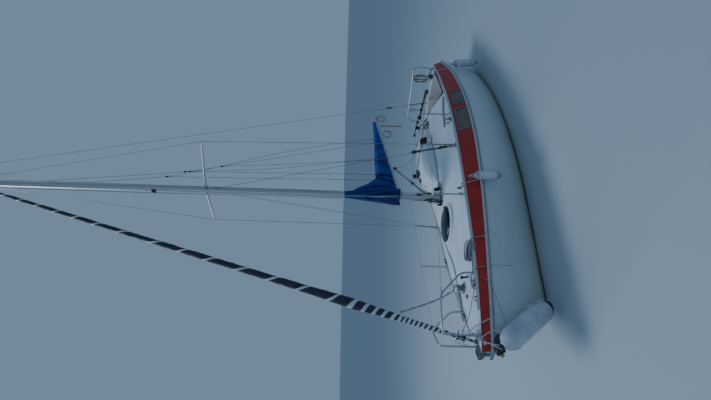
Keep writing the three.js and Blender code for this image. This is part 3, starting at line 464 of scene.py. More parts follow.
finish = {
    # Off-white above, yellowed near the water, with a weed line at it
    "hull": layered(
        "topsides", ((0, (0.035, 0.045, 0.04)), (0.035, (0.045, 0.055, 0.045)), (0.085, (0.26, 0.29, 0.26)),
                     (0.16, (0.46, 0.53, 0.52)), (0.45, (0.54, 0.63, 0.66)), (1, (0.57, 0.66, 0.7))), (),
        [((9, 9, 0.7), (3, 5, 0.6), (0.35, grey(1)), (0.75, (0.9, 0.9, 0.87))),
         (None, (1.3,), (0.3, grey(0.96)), (0.7, grey(1)))],
        (14, 0.26, 0.42), (2.2, 2, 0.004, 0.5), measure=stainHeight, Coat_Weight=0.25,
        Coat_Roughness=0.15),
    "deck": deckFinish("deckGelcoat", (0.6, 0.67, 0.75), (0.5, 0.56, 0.63)),
    "cockpit": deckFinish("cockpitGelcoat", (0.56, 0.58, 0.58), (0.45, 0.46, 0.44)),
    "white": plainFinish("whiteGelcoat", (0.7, 0.73, 0.74), (0.6, 0.63, 0.65), (0.28, 0.45), scale=9,
                         Coat_Weight=0.2),
    "band": layered(
        "redBand", ((0.3, (0.46, 0.016, 0.008)), (0.7, (0.32, 0.01, 0.006))), (2.2, 5, 0.6),
        [((14, 14, 1.2), (3, 5), (0.45, grey(1)), (0.85, grey(0.8)))], (16, 0.38, 0.55),
        (300, 2, 0.0003, 1), Coat_Weight=0.12, Coat_Roughness=0.3),
    # Grey extrusion with painted light: pale where it faces up and darkened by painted shade underneath
    "strake": layered(
        "rubbingStrake", ((0.1, (0.1, 0.12, 0.16)), (0.42, (0.24, 0.27, 0.33)), (0.62, (0.42, 0.45, 0.5)),
                          (0.95, (0.6, 0.63, 0.66))), (),
        [((1, 1, 6), (11, 6), (0.4, grey(1)), (0.75, grey(0.78)))], (30, 0.45, 0.7),
        (180, 4, 0.0005, 1), measure=paintedLightByFacing),
    "bottom": plainFinish("bottomPaint", (0.035, 0.05, 0.06), (0.07, 0.08, 0.06), (0.7, 0.9), 0, 9,
                          (90, 0.001)),
    "stainless": plainFinish("stainless", (0.5, 0.53, 0.57), (0.38, 0.41, 0.45), (0.3, 0.5), 1, 9),
    "alloy": sparFinish("anodisedAlloy", (1.5, 14, 14), (0.6, 0.62, 0.64), (0.44, 0.46, 0.49)),
    "mast": sparFinish("mastAlloy", (14, 14, 0.6), (0.55, 0.57, 0.6), (0.4, 0.42, 0.45)),
    "galvanised": plainFinish("galvanised", (0.26, 0.28, 0.3), (0.15, 0.16, 0.17), (0.45, 0.7), 0.6, 24,
                              (160, 0.0006)),
    "wire": plainFinish("laidWire", (0.34, 0.36, 0.39), (0.2, 0.22, 0.25), (0.3, 0.5), 0.8, 60),
    "window": layered("smokedWindow", ((0.35, (0.03, 0.04, 0.055)), (0.75, (0.055, 0.07, 0.0925))),
                      (7, 5), (),
                      (18, 0.12, 0.264), (60, 4, 0.0002, 1), Alpha=0.24, Coat_Weight=0.6,
                      Coat_Roughness=0.08),
    # Little shine on the hatch's dome, so that it stays darker than the deck
    "dome": layered("smokedDome", ((0.35, (0.004, 0.007, 0.014)), (0.8, (0.016, 0.022, 0.032))), (6, 5),
                    (),
                    (16, 0.1, 0.24), (60, 4, 0.0002, 1), Alpha=0.96, Specular_IOR_Level=0.22),
    "canvas": canvasFinish("blueCanvas", (0.002, 0.024, 0.27), (0.005, 0.062, 0.5), 0.0016, 0.04),
    # The cover's cloth and the curtains carry painted shade in their folds
    "coverCanvas": canvasFinish("coverCanvas", (0.003, 0.04, 0.39), (0.009, 0.105, 0.68), 0.0016, 0.04, True),
    "canvasTrim": canvasFinish("canvasTape", (0.008, 0.03, 0.17), (0.015, 0.05, 0.24), 0.001),
    "blackCloth": canvasFinish("blackCanvas", (0.012, 0.013, 0.016), (0.03, 0.03, 0.035)),
    "curtain": canvasFinish("curtainCloth", (0.8, 0.71, 0.53), (0.64, 0.56, 0.41), 0.0012, 0.1, True),
    "zip": plainFinish("zipTape", (0.24, 0.3, 0.52), (0.16, 0.21, 0.4), (0.6, 0.8), scale=40),
    "roll": rollFinish(),
    "wood": woodFinish("darkWood", (0.13, 0.06, 0.028), (0.045, 0.022, 0.012)),
    "tillerWood": woodFinish("tillerWood", (0.085, 0.045, 0.026), (0.028, 0.017, 0.012)),
    "blackMetal": plainFinish("blackAnodised", (0.016, 0.017, 0.019), (0.05, 0.05, 0.052), (0.3, 0.5), 0.5),
    "blackPlastic": plainFinish("blackPlastic", (0.014, 0.014, 0.016), (0.035, 0.035, 0.038), (0.4, 0.62)),
    "greyPlastic": plainFinish("greyPlastic", (0.3, 0.32, 0.34), (0.2, 0.21, 0.23), (0.4, 0.6)),
    "frameGrey": plainFinish("frameGrey", (0.17, 0.19, 0.23), (0.1, 0.115, 0.14), (0.4, 0.6), 0.3),
    "whitePlastic": plainFinish("whitePlastic", (0.62, 0.63, 0.62), (0.46, 0.47, 0.45), (0.35, 0.55)),
    "amber": plainFinish("beigePlastic", (0.46, 0.38, 0.24), (0.32, 0.26, 0.16), (0.4, 0.6)),
    "rubber": plainFinish("rubber", (0.018, 0.019, 0.02), (0.04, 0.04, 0.042), (0.65, 0.85), scale=40),
    "vinyl": plainFinish("fenderVinyl", (0.58, 0.63, 0.69), (0.46, 0.51, 0.57), (0.34, 0.6), 0, 7,
                         (120, 0.0006)),
    "bowVinyl": plainFinish("bowFenderVinyl", (0.6, 0.65, 0.72), (0.33, 0.39, 0.47), (0.3, 0.55), 0, 3.2,
                            (120, 0.0006)),
    "blueVinyl": plainFinish("blueVinyl", (0.3, 0.33, 0.42), (0.2, 0.22, 0.3), (0.35, 0.55), scale=20),
    "navyVinyl": plainFinish("navyVinyl", (0.012, 0.018, 0.045), (0.04, 0.045, 0.07), (0.35, 0.6),
                             scale=20),
    "rope": ropeFinish("laidRope", (0.6, 0.62, 0.66), (0.16, 0.17, 0.2)),
    "greyRope": ropeFinish("greyRope", (0.3, 0.32, 0.36), (0.07, 0.075, 0.09)),
    "halyard": ropeFinish("plaitedLine", (0.46, 0.47, 0.48), (0.15, 0.16, 0.18), (0.05, 0.08, 0.22), 8, 1.2,
                          True),
    "darkLine": ropeFinish("darkLine", (0.085, 0.088, 0.095), (0.02, 0.02, 0.024), None, 8, 1.2, True),
    "brownRope": ropeFinish("brownRope", (0.3, 0.22, 0.14), (0.06, 0.045, 0.03)),
}
print("finishes made:", len(finish))


# A Geometry Nodes tree: named inputs, nodes with their settings and values, links from and to named sockets
def growTree(name, inputs, nodes, links):
    tree = bpy.data.node_groups.new(name, "GeometryNodeTree")
    for label, kind in inputs:
        tree.interface.new_socket(label, in_out="INPUT", socket_type="NodeSocket" + kind)
    tree.interface.new_socket("Geometry", in_out="OUTPUT", socket_type="NodeSocketGeometry")
    made = dict(start=tree.nodes.new("NodeGroupInput"), end=tree.nodes.new("NodeGroupOutput"))
    for key, (kind, settings, values) in nodes.items():
        made[key] = tree.nodes.new(kind)
        for setting, value in settings.items():
            setattr(made[key], setting, value)
        for socket, value in values.items():
            made[key].inputs[socket].default_value = value
    for source, output, target, entry in links:
        tree.links.new(made[source].outputs[output], made[target].inputs[entry])
    return tree


# Smooth shading over the frame's loose triangles, sharp at their real edges
smooth = growTree("smoothFrame", [("Geometry", "Geometry")], dict(
    merge=("GeometryNodeMergeByDistance", {}, {"Distance": 0.00005}),
    angle=("GeometryNodeInputMeshEdgeAngle", {}, {}),
    compare=("FunctionNodeCompare", dict(data_type="FLOAT", operation="LESS_EQUAL"), {"B": radians(38)}),
    faces=("GeometryNodeSetShadeSmooth", {}, {}),
    edges=("GeometryNodeSetShadeSmooth", dict(domain="EDGE"), {})), [
        ("start", "Geometry", "merge", "Geometry"), ("merge", "Geometry", "faces", "Geometry"),
        ("faces", "Geometry", "edges", "Geometry"), ("angle", "Unsigned Angle", "compare", "A"),
        ("compare", "Result", "edges", "Shade Smooth"), ("edges", "Geometry", "end", "Geometry")])

# Finishes of the frame's own nodes, by the start of their names
nodeStarts = dict(
    hull="hull_shell rudder_blade", bottom="fin_keel", strake="rubbing_strake", deck="deck_moulding",
    window="window", white="fore_hatch_ring hatch_runner sliding_hatch", dome="fore_hatch_lid",
    wood="washboards", alloy="toe_rail spreader boom", mast="mast",
    galvanised="stem_fitting mast_step bow_cleat stern_cleat", canvas="sail_cover",
    stainless="pulpit pushpit stanchion gooseneck chainplate backstay_plate gudgeon mooring_bitt",
    wire="forestay upper_shroud lower_shroud backstay", blackMetal="winch tiller_extension", vinyl="fender",
    frameGrey="rigid_vang", tillerWood="tiller", blackPlastic="furling_drum", roll="rolled_headsail")
nodeFinish = {start: key for key, starts in nodeStarts.items() for start in starts.split()}
for name, nodeObject in cad.items():
    nodeObject.modifiers.new("smooth", "NODES").node_group = smooth
    start = max((key for key in nodeFinish if name.startswith(key)), key=len)
    nodeObject.data.materials.clear()
    nodeObject.data.materials.append(finish[nodeFinish[start]])

# The deck moulding carries three finishes: deck, the red band on its outer sides, and the cockpit tub
deckZones = dict(bandTilt=0.45, bandFacing=0.35, cabinSide=0.6, cabinFore=0.1, cockpit=(-3.1, -1.6),
    tubTop=0.92)
deckMesh = cad["deck_moulding"].data
deckMesh.materials.append(finish["band"])
deckMesh.materials.append(finish["cockpit"])
for face in deckMesh.polygons:
    centre, normal = face.center, face.normal
    outward = normal.y * copysign(1, centre.y)
    wide = abs(centre.y) > deckZones["cabinSide"] or centre.x > deckZones["cabinFore"]
    inTub = deckZones["cockpit"][0] < centre.x < deckZones["cockpit"][1] and abs(centre.y) < 0.9
    if abs(normal.z) < deckZones["bandTilt"] and outward > deckZones["bandFacing"] and wide:
        face.material_index = 1
    elif inTub and centre.z < deckZones["tubTop"]:
        face.material_index = 2
print("frame dressed")
deckTree = BVHTree.FromPolygons([v.co for v in deckMesh.vertices], [p.vertices for p in deckMesh.polygons])


def onDeck(x, y, lift=0):
    hit = deckTree.ray_cast(vec(x, y, 3), -up)[0]
    return vec(x, y, hit.z + lift)


# Mesh helpers: a form gathers faces, then becomes one piece
def smoothPath(points, step=0.03):
    points = [Vector(point) for point in points]
    if len(points) < 3:
        return points
    ends = [2 * points[0] - points[1], *points, 2 * points[-1] - points[-2]]
    made = [points[0]]
    for a, b, c, d in zip(ends, ends[1:], ends[2:], ends[3:]):
        count = max(2, round((c - b).length / step))
        for index in range(1, count + 1):
            t = index / count
            made.append(0.5 * (2 * b + (c - a) * t + (2 * a - 5 * b + 4 * c - d) * t * t
                + (3 * b - a - 3 * c + d) * t * t * t))
    return made


def pathLength(points):
    return sum((b - a).length for a, b in zip(points, points[1:]))


def sidewards(direction):
    return direction.orthogonal().normalized()


# Running direction at every point of a path
def headings(points, loop):
    ends = [points[-1], *points, points[0]] if loop else [points[0], *points, points[-1]]
    return [(after - before).normalized() for before, after in zip(ends, ends[2:])]


class Form:
    def __init__(self):
        self.mesh = bmesh.new()
        self.uv = self.mesh.loops.layers.uv.new("UVMap")

    # Rows of points, each row a ring, joined into a skin; a row of one point is a pole
    def skin(self, rows, along=None, index=0, loop=False, ring=True):
        made = [[self.mesh.verts.new(point) for point in row] for row in rows]
        along = along or [float(number) for number in range(len(rows) + 1)]
        pairs = [(number, number + 1) for number in range(len(rows) - 1)]
        if loop:
            pairs.append((len(rows) - 1, 0))
        for a, b in pairs:
            count = max(len(made[a]), len(made[b]))
            ends = (along[a], along[b] if b else along[-1])
            for j in range(count if ring else count - 1):
                corners = []
                for row, number, v in ((a, j, 0), (a, j + 1, 0), (b, j + 1, 1), (b, j, 1)):
                    vertex = made[row][number % len(made[row])]
                    if all(vertex is not other[0] for other in corners):
                        corners.append((vertex, number / count, ends[v]))
                if len(corners) < 3:
                    continue
                face = self.mesh.faces.new([corner[0] for corner in corners])
                face.material_index = index
                for corner, (_, u, v) in zip(face.loops, corners):
                    corner[self.uv].uv = (u, v)
        if ring and not loop:
            for row in (made[0], made[-1]):
                if len(row) > 2:
                    self.mesh.faces.new(row).material_index = index
        return made

    def tube(self, points, radius, sides=8, index=0, loop=False):
        points = [Vector(point) for point in points]
        count = len(points)
        radii = radius if isinstance(radius, (list, tuple)) else [radius] * count
        ahead = headings(points, loop)
        across = sidewards(ahead[0])
        rows, along, gone = [], [], 0
        for number in range(count):
            across = (across - ahead[number] * across.dot(ahead[number])).normalized()
            other = ahead[number].cross(across)
            rows.append([points[number] + radii[number] * (cos(a) * across + sin(a) * other)
                for a in circle(sides)])
            along.append(gone / (2 * max(radii)))
            if number < count - 1:
                gone += (points[number + 1] - points[number]).length
        along.append((gone + (points[0] - points[-1]).length) / (2 * max(radii)))
        if loop:
            last = (across - ahead[0] * across.dot(ahead[0])).normalized()
            first = sidewards(ahead[0])
            slip = atan2(first.cross(last).dot(ahead[0]), first.dot(last))
            for number, row in enumerate(rows):
                fix = Matrix.Rotation(-slip * number / count, 3, ahead[number])
                rows[number] = [points[number] + fix @ (p - points[number]) for p in row]
        self.skin(rows, along, index, loop)
        return self

    def hoop(self, points, radius, sides=7, index=0):
        return self.tube(points, radius, sides, index, loop=True)

    # A tube along a smooth line through a few points
    def bent(self, points, step, radius, sides=8, index=0):
        return self.tube(smoothPath(points, step), radius, sides, index)

    # A turned body closed on its axis at both ends
    def knob(self, profile, base, axis, sides=24, index=0):
        return self.turned([(profile[0][0], 0), *profile, (profile[-1][0], 0)], base, axis, sides, index)

    # Profile of (along, radius) turned about an axis
    def turned(self, profile, base, axis, sides=24, index=0):
        base, axis = Vector(base), Vector(axis).normalized()
        across = sidewards(axis)
        other = axis.cross(across)
        rows = []
        for distance, radius in profile:
            centre = base + axis * distance
            if radius < 1e-6:
                rows.append([centre])
            else:
                rows.append([centre + radius * (cos(a) * across + sin(a) * other) for a in circle(sides)])
        gone = [0]
        for (a, r), (b, q) in zip(profile, profile[1:]):
            gone.append(gone[-1] + hypot(b - a, q - r) * 20)
        self.skin(rows, gone + [gone[-1]], index)
        return self

    # A flat section swept along a path, with its own sideways and outward directions
    def strip(self, points, section, outward, index=0, loop=False):
        rows, along, gone = [], [], 0
        for number, (point, ahead) in enumerate(zip(points, headings(points, loop))):
            out = outward[number] if isinstance(outward, list) else Vector(outward)
            out = (out - ahead * out.dot(ahead)).normalized()
            across = ahead.cross(out)
            rows.append([point + a * across + b * out for a, b in section])
            along.append(gone)
            gone += (points[(number + 1) % len(points)] - point).length
        self.skin(rows, along + [gone], index, loop)
        return self

    # Rounded block about a centre, turned about one axis; its size is in millimetres
    def block(self, centre, size, turn=None, edge=0.3, index=0, segments=2):
        for face in self.mesh.faces:
            face.tag = True
        size = [part / 1000 for part in size]
        matrix = Matrix.Rotation(turn[1], 4, turn[0]) if turn else Matrix.Identity(4)
        matrix = Matrix.Translation(Vector(centre)) @ matrix @ Matrix.Diagonal((*size, 1))
        made = bmesh.ops.create_cube(self.mesh, size=1, matrix=matrix)
        edges = {e for v in made["verts"] for e in v.link_edges}
        bmesh.ops.bevel(self.mesh, geom=list(edges), offset=edge * min(size), segments=segments, profile=0.5,
            affect="EDGES")
        for face in self.mesh.faces:
            if not face.tag:
                face.material_index = index
                face.tag = True
        return self

    def piece(self, name, finishes, slot, crease=35, body="hull"):
        bmesh.ops.remove_doubles(self.mesh, verts=self.mesh.verts[:], dist=0.00001)
        bmesh.ops.recalc_face_normals(self.mesh, faces=self.mesh.faces[:])
        for face in self.mesh.faces:
            face.smooth = True
        for line in self.mesh.edges:
            line.smooth = line.is_manifold and line.calc_face_angle(0) < radians(crease)
        data = bpy.data.meshes.new(name)
        self.mesh.to_mesh(data)
        self.mesh.free()
        return settle(name, data, body, finishes, slot)


def stand(name, data):
    made = bpy.data.objects.new(name, data)
    bpy.context.scene.collection.objects.link(made)
    return made


# The mesh that an object's modifiers make; the object itself goes
def worked(base):
    made = bpy.data.meshes.new_from_object(base.evaluated_get(bpy.context.evaluated_depsgraph_get()))
    bpy.data.objects.remove(base)
    return made


def settle(name, data, body, finishes, slot):
    for key in finishes:
        data.materials.append(finish[key])
    made = stand(name, data)
    if body:
        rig.ride(made, body)
    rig.slot(made, slot)
    return made


print("helpers ready")


# Loose ropes come first: each leaves the yacht at a real point and lies or hangs under its own weight
def looseRope(name, points, thick, material, farEnd, lay, body="hull"):
    made = Form().tube(points, thick / 2, 10).piece(name, [material], "sailcloth", 60, body)
    knots = []
    if farEnd == "knot":
        stopper = Form()
        for k, lean in enumerate((0.3, 2.2, 4.3)):
            ring = [points[-1] + thick * vec(0.75 * cos(a), 0.75 * sin(a) * cos(lean),
                0.45 * sin(a) * sin(lean) + 0.3 * sin(2 * a + k)) for a in circle(14)]
            stopper.hoop(ring, thick * 0.42)
        knots.append(stopper.piece(name + "Knot", [material], "sailcloth", 60, body))
    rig.cord(made, points[0], round(pathLength(points), 2), thick, farEnd, "limp", lay, points, knots)


coilSteps = 24  # points for each turn


# One turn round a loop with straight sides and round ends, from the far end of its long axis
def loopPoint(turn, long, wide):
    straight, quarter = 2 * (long - wide), pi * wide / 2
    run = (turn % 1) * (2 * straight + 4 * quarter)
    if run < quarter:
        return long - wide + wide * cos(run / wide), wide * sin(run / wide)
    run -= quarter
    if run < straight:
        return long - wide - run, wide
    run -= straight
    if run < 2 * quarter:
        return wide - long - wide * sin(run / wide), wide * cos(run / wide)
    run -= 2 * quarter
    if run < straight:
        return wide - long + run, -wide
    run -= straight
    return long - wide + wide * sin(run / wide), -wide * cos(run / wide)


# Turns lying beside and on each other, each a little out of true
def flatCoil(place, long, wide, turns, thick, angle, perLayer=3):
    made = []
    centre = Vector(place)
    for k in range(round(turns * coilSteps) + 1):
        gone = k / coilSteps
        layer = int(gone // perLayer)
        part = gone - layer * perLayer
        offset = (((perLayer - part) if layer % 2 else part) - perLayer / 2) * 1.2 * thick
        lean = angle + 0.1 * sin(2.1 * gone)
        across, beside = loopPoint(gone, long / 2 + offset, wide / 2 + offset)
        x = centre.x + across * cos(lean) - beside * sin(lean) + 0.25 * thick * sin(1.7 * gone)
        y = centre.y + across * sin(lean) + beside * cos(lean) + 0.25 * thick * cos(2.3 * gone)
        made.append(vec(x, y, onDeck(x, y).z + thick * (0.55 + 1.05 * layer)))
    for _ in range(4):
        made = [made[0]] + [(a + 2 * b + c) / 4 for a, b, c in zip(made, made[1:], made[2:])] + [made[-1]]
    return made


# Turns hanging from a point in an upright plane
def hangingCoil(top, drop, wide, turns, thick, facing, vary):
    between = 1.2 * thick
    made = []
    across = vec(cos(facing), sin(facing), 0)
    out = vec(-sin(facing), cos(facing), 0)
    for k in range(round(turns * coilSteps) + 1):
        gone = k / coilSteps
        half = drop / 2 * (0.94 + 0.06 * sin(1.9 * gone + 1))
        high, beside = loopPoint(gone, half, wide / 2 * (1 + vary * sin(2.4 * gone)))
        made.append(Vector(top) + across * beside - up * (half - high) + out * ((gone - turns / 2) * between))
    return made


def follow(points, thick):
    return [onDeck(x, y, thick / 2) for x, y in points]


bowCoils = [
    dict(name="portBowRope", cleat=(2.47, 0.356, 1.138), lead=((2.4, 0.395), (2.3, 0.455), (2.225, 0.51)),
         centre=(2.11, 0.505), long=0.285, wide=0.135, turns=6.72, angle=149.7, thick=0.016,
         material="greyRope", first=17),
    dict(name="stbdBowRope", cleat=(2.47, -0.356, 1.138), lead=((2.44, -0.318), (2.395, -0.292)),
         centre=(2.3, -0.345), long=0.27, wide=0.13, turns=6, angle=155, thick=0.014, material="rope",
         first=17)]
for item in bowCoils:
    thick = item["thick"]
    turns = flatCoil((*item["centre"], 0), item["long"], item["wide"], item["turns"], thick,
        radians(item["angle"]), 2)
    lead = [Vector(item["cleat"]), *follow(item["lead"], thick)]
    points = [*lead, *turns[item["first"]:]]
    if item["name"] == "portBowRope":  # its end hangs over the edge
        points += [Vector(place) for place in mm((2094, 595, 1142), (2056, 621, 1130), (2024, 648, 1108),
            (2009, 667, 1072), (2004, 682, 1025), (2003, 692, 977), (2003, 699, 930))]
    path = smoothPath(points, 0.012)
    looseRope(item["name"], path, thick, item["material"], "knot", "coiled")

# Jib sheets: two ropes twisted together from the clew to the foredeck, then aft along the starboard deck
jibSheets = dict(
    thick=0.014, twist=0.38, gap=0.0082,
    air=mm((2806, 18, 2105), (2760, -12, 2020), (2700, -42, 1925), (2625, -74, 1795), (2525, -120, 1636),
           (2419, -167, 1486), (2310, -215, 1368), (2203, -263, 1260), (2105, -296, 1168)),
    deck=mm((2040, -290), (1930, -215), (1780, -190), (1581, -229), (1330, -325), (1071, -410), (850, -490),
            (620, -585), (420, -680), (239, -760), (0, -800), (-280, -775), (-520, -690), (-700, -570),
            (-800, -480)))
sheetLine = smoothPath([*jibSheets["air"], *follow(jibSheets["deck"], 2 * jibSheets["thick"])], 0.014)
for name, phase, ending in (
        ("jibSheetA", 0, mm((-862, -418, 1300), (-895, -401, 1352), (-938, -358, 1356), (-895, -315, 1360),
                            (-852, -358, 1364), (-895, -401, 1368), (-938, -358, 1372), (-895, -315, 1376))),
        ("jibSheetB", pi, mm((-880, -455, 1235), (-945, -440, 1235)))):
    path, gone = [], 0
    for number, point in enumerate(sheetLine):
        ahead = (sheetLine[min(number + 1, len(sheetLine) - 1)] - sheetLine[max(number - 1, 0)]).normalized()
        if number:
            gone += (point - sheetLine[number - 1]).length
        across = ahead.cross(up).normalized()
        over = across.cross(ahead)
        a = phase + 2 * pi * gone / jibSheets["twist"]
        air = clamp((point.x - 2.05) / 0.2)
        side = cos(a) * air + (1 - air) * cos(phase) * (1.15 + 0.5 * sin(5 * gone))
        path.append(point + jibSheets["gap"] * (across * side + over * sin(a) * air)
            - up * (jibSheets["thick"] / 2 * (1 - air)))
    path += smoothPath([path[-1], *ending], 0.014)[1:]
    looseRope(name, path, jibSheets["thick"], "halyard", "object", "loose")
print("bow ropes laid")

# Line ends hung from the boom, on the rails and by the winch
boomLines = [
    dict(name="boomCoil", top=(-1.662, 0.006, 2.066), drop=0.165, wide=0.125, turns=3, facing=-0.75,
         body="boom", thick=0.008, material="brownRope"),
    dict(name="boomLoop", top=(-1.978, 0.004, 2.106), drop=0.455, wide=0.06, turns=1.5, facing=0.5,
         body="boom", thick=0.009, material="brownRope"),
    dict(name="boomEndCoil", top=(-2.262, 0, 2.14), drop=0.15, wide=0.095, turns=2, facing=-0.65,
         body="boom", thick=0.008, material="brownRope"),
    dict(name="hoopCoil", top=(-3.398, -0.402, 1.318), drop=0.15, wide=0.075, turns=3, facing=pi / 2,
         body="hull", thick=0.007, material="rope"),
    dict(name="railHank", top=(-3.372, 0.41, 1.3), drop=0.3, wide=0.11, turns=6, facing=pi / 2 + 0.5,
         body="hull", thick=0.01, material="brownRope", vary=0.5)]
for item in boomLines:
    path = smoothPath(hangingCoil(item["top"], item["drop"], item["wide"], item["turns"], item["thick"],
        item["facing"], item.get("vary", 0.12)), 0.01)
    looseRope(item["name"], path, item["thick"], item["material"], "knot", "hanging", item["body"])
path = smoothPath(flatCoil((-1.395, 0.4, 0), 0.16, 0.092, 5, 0.01, radians(165)), 0.01)
looseRope("aftCoil", path, 0.01, "brownRope", "knot", "coiled")
print("line ends stowed")

# Edges of the hull and deck, as in the frame: x, gunwale y and z, deck edge y and z
edgeRows = np.array(mm(
    (3440, 62, 981, 44, 1120), (3033, 273, 950, 251, 1094), (2478, 502, 915, 476, 1068),
    (1714, 772, 855, 724, 1056), (1000, 948, 799, 885, 1040), (300, 1060, 745, 985, 1016),
    (-370, 1117, 704, 1042, 994), (-1000, 1120, 677, 1050, 970), (-1600, 1098, 665, 1034, 955),
    (-2453, 997, 668, 942, 937), (-3000, 890, 694, 830, 920), (-3440, 790, 735, 722, 900)))


def edge(x, column):
    rows = edgeRows[::-1]
    return float(np.interp(x, rows[:, 0], rows[:, column]))


# Wound headsail: a tight roll on the forestay with a spiral edge; bands say where the pale strip shows
sailRoll = dict(
    low=0.345, high=7.99, step=0.022, sides=28, edge=0.004, slack=0.0018,
    radii=mm((345, 30), (600, 34), (1300, 52), (1640, 74), (1800, 70), (2520, 53), (3300, 46),
             (4200, 44), (5200, 36), (6400, 34), (7300, 30), (7990, 20)),
    bands=(0.36, 0.431, 0.485, 0.559, 0.624, 0.692, 0.758, 0.82, 0.886, 0.948, 1.008, 1.101, 1.228, 1.355,
           1.498, 1.672, 1.958, 2.431, 2.896, 3.391, 3.918, 4.377, 4.848, 5.461, 5.927, 6.328, 6.698, 7.077,
           7.422, 7.754, 8.1),
    pale=((0.345, 0.6), (1.05, 0.58), (1.15, 0.36), (1.7, 0.3), (1.96, 0.13), (3.4, 0.13), (8, 0.13)))
stayFoot = vec(3.254, 0, 1.152)
stayAxis = vec(-0.351276, 0, 0.936272)


def rolledSail():
    sizes = np.array(sailRoll["radii"])
    pale = np.array(sailRoll["pale"])
    bands = np.array(sailRoll["bands"])
    toCamera = Vector(camera["place"]) - (stayFoot + stayAxis * 2)
    front = (toCamera - stayAxis * toCamera.dot(stayAxis)).normalized()
    right = front.cross(stayAxis) * -1
    sides = sailRoll["sides"]
    count = round((sailRoll["high"] - sailRoll["low"]) / sailRoll["step"])
    form = Form()
    rows, marks = [], []
    for number in range(count + 1):
        s = sailRoll["low"] + (sailRoll["high"] - sailRoll["low"]) * number / count
        radius = float(np.interp(s, sizes[:, 0], sizes[:, 1]))
        phase = float(np.interp(s, bands, np.arange(len(bands))))
        share = float(np.interp(s, pale[:, 0], pale[:, 1]))
        marks.append((phase + share / 2, share))
        row = []
        for k in range(sides):
            part = k / sides
            turned = (phase + part) % 1
            lip = sailRoll["edge"] * (0.5 - turned) * min(1, radius / 0.04)
            ripple = sailRoll["slack"] * sin(9 * s + 4 * pi * part) + 0.0012 * sin(31 * s - 6 * pi * part)
            r = radius + lip + ripple
            angle = 2 * pi * (part - 0.5)
            row.append(stayFoot + stayAxis * s + r * (cos(angle) * front + sin(angle) * right))
        rows.append(row)
    form.skin(rows)
    face = 0
    form.mesh.faces.ensure_lookup_table()
    for number in range(count):
        for k in range(sides):
            for corner, (row, part) in zip(form.mesh.faces[face].loops,
                    ((0, k), (0, k + 1), (1, k + 1), (1, k))):
                phase, share = marks[number + row]
                corner[form.uv].uv = (phase + part / sides - 0.5, share)
            face += 1
    made = form.piece("rolledSail", ["roll"], "sailcloth", 60, body="furler")
    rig.replaces(made, "rolled_headsail")
    return made


rolledSail()
print("headsail rolled")

# Sail cover: one bag round the mast and along the boom, fused from lofts, then folded
coverShape = dict(
    voxel=0.012, settle=6,
    mastRings=mm((1905, 326, 154, 160), (2060, 318, 150, 156), (2240, 302, 138, 146),
               (2410, 296, 116, 122), (2580, 293, 90, 90), (2720, 298, 75, 70),
               (2850, 299, 66, 56)),
    boomRings=mm((260, 2000, 2740, 60), (174, 1970, 2720, 80), (120, 1940, 2645, 96),
               (60, 1940, 2540, 108), (0, 1948, 2462, 112), (-60, 1955, 2392, 113),
               (-140, 1965, 2318, 110), (-220, 1976, 2294, 107), (-400, 1998, 2290, 102),
               (-600, 2022, 2284, 95), (-900, 2059, 2276, 86), (-1200, 2096, 2268, 75),
               (-1550, 2137, 2262, 63), (-1900, 2178, 2258, 50), (-2110, 2202, 2252, 40)))


def oval(count, power):
    return [tuple(copysign(abs(part) ** (2 / power), part) for part in (cos(a), sin(a)))
        for a in circle(count)]


def ridged(value):
    return 1 - abs(sin(value))


def coverFolds(point, normal):
    x, y, z = point
    onMast = clamp((x - 0.02) / 0.16)
    height = clamp((2.83 - z) / 0.9)
    angle = atan2(y, x - 0.3)
    lean = angle + 0.16 * sin(2.6 * z + 1.3 * angle)
    pleats = (0.62 * ridged(2.5 * lean + 0.7 + 1.3 * height) + 0.42 * ridged(3.9 * lean - 1.1 - 0.9 * height)
        + 0.18 * sin(8 * lean + 7 * z))
    push = onMast * (0.044 * height ** 0.8) * (pleats - 0.55)
    aft = clamp((0.1 - x) / 0.25) * clamp((x + 2.15) / 1.2, 0.12)
    slant = z + 0.1 * x
    folds = (0.6 * ridged(10.5 * slant + 1.6 * sin(2.3 * x + 0.4)) + 0.5 * ridged(7 * (z - 0.42 * x) + 0.9)
        + 0.2 * sin(13 * x + 9 * z))
    push += aft * 0.026 * (folds - 0.62) * (0.35 + 0.65 * abs(normal[1]))
    knee = exp(-(((x + 0.205 + 0.25 * (z - 2.15)) / 0.034) ** 2)) * clamp((2.3 - z) / 0.12)
    elbow = exp(-(((x + 0.03 + 0.55 * (z - 2.1)) / 0.034) ** 2)) * clamp((2.42 - z) / 0.2)
    return push - 0.052 * knee * abs(normal[1]) - 0.03 * elbow * abs(normal[1])


# Cloth pass over a closed soft body: held where the weights say, sagging and swelling a little elsewhere
def clothPass(data, held, frames=18, swell=1.6, weight=0.5, slack=0.035, cap=0.02):
    start = [v.co.copy() for v in data.vertices]
    base = stand("clothBase", data)
    group = base.vertex_groups.new(name="held")
    for vertex in data.vertices:
        group.add([vertex.index], held(vertex.co), "REPLACE")
    cloth = base.modifiers.new("cloth", "CLOTH")
    settings = dict(quality=5, mass=0.25, tension_stiffness=14, compression_stiffness=6, shear_stiffness=6,
        bending_stiffness=0.4, vertex_group_mass="held", pin_stiffness=1, shrink_min=-slack,
        use_pressure=True, uniform_pressure_force=swell)
    for name, value in settings.items():
        setattr(cloth.settings, name, value)
    cloth.settings.effector_weights.gravity = weight
    cloth.point_cache.frame_start = 1
    cloth.point_cache.frame_end = frames
    scene = bpy.context.scene
    for frameNumber in range(1, frames + 1):
        scene.frame_set(frameNumber)
    made = worked(base)
    for vertex, before in zip(made.vertices, start):
        move = vertex.co - before
        if move.length > cap:
            vertex.co = before + move * (cap / move.length)
    scene.frame_set(1)
    return made


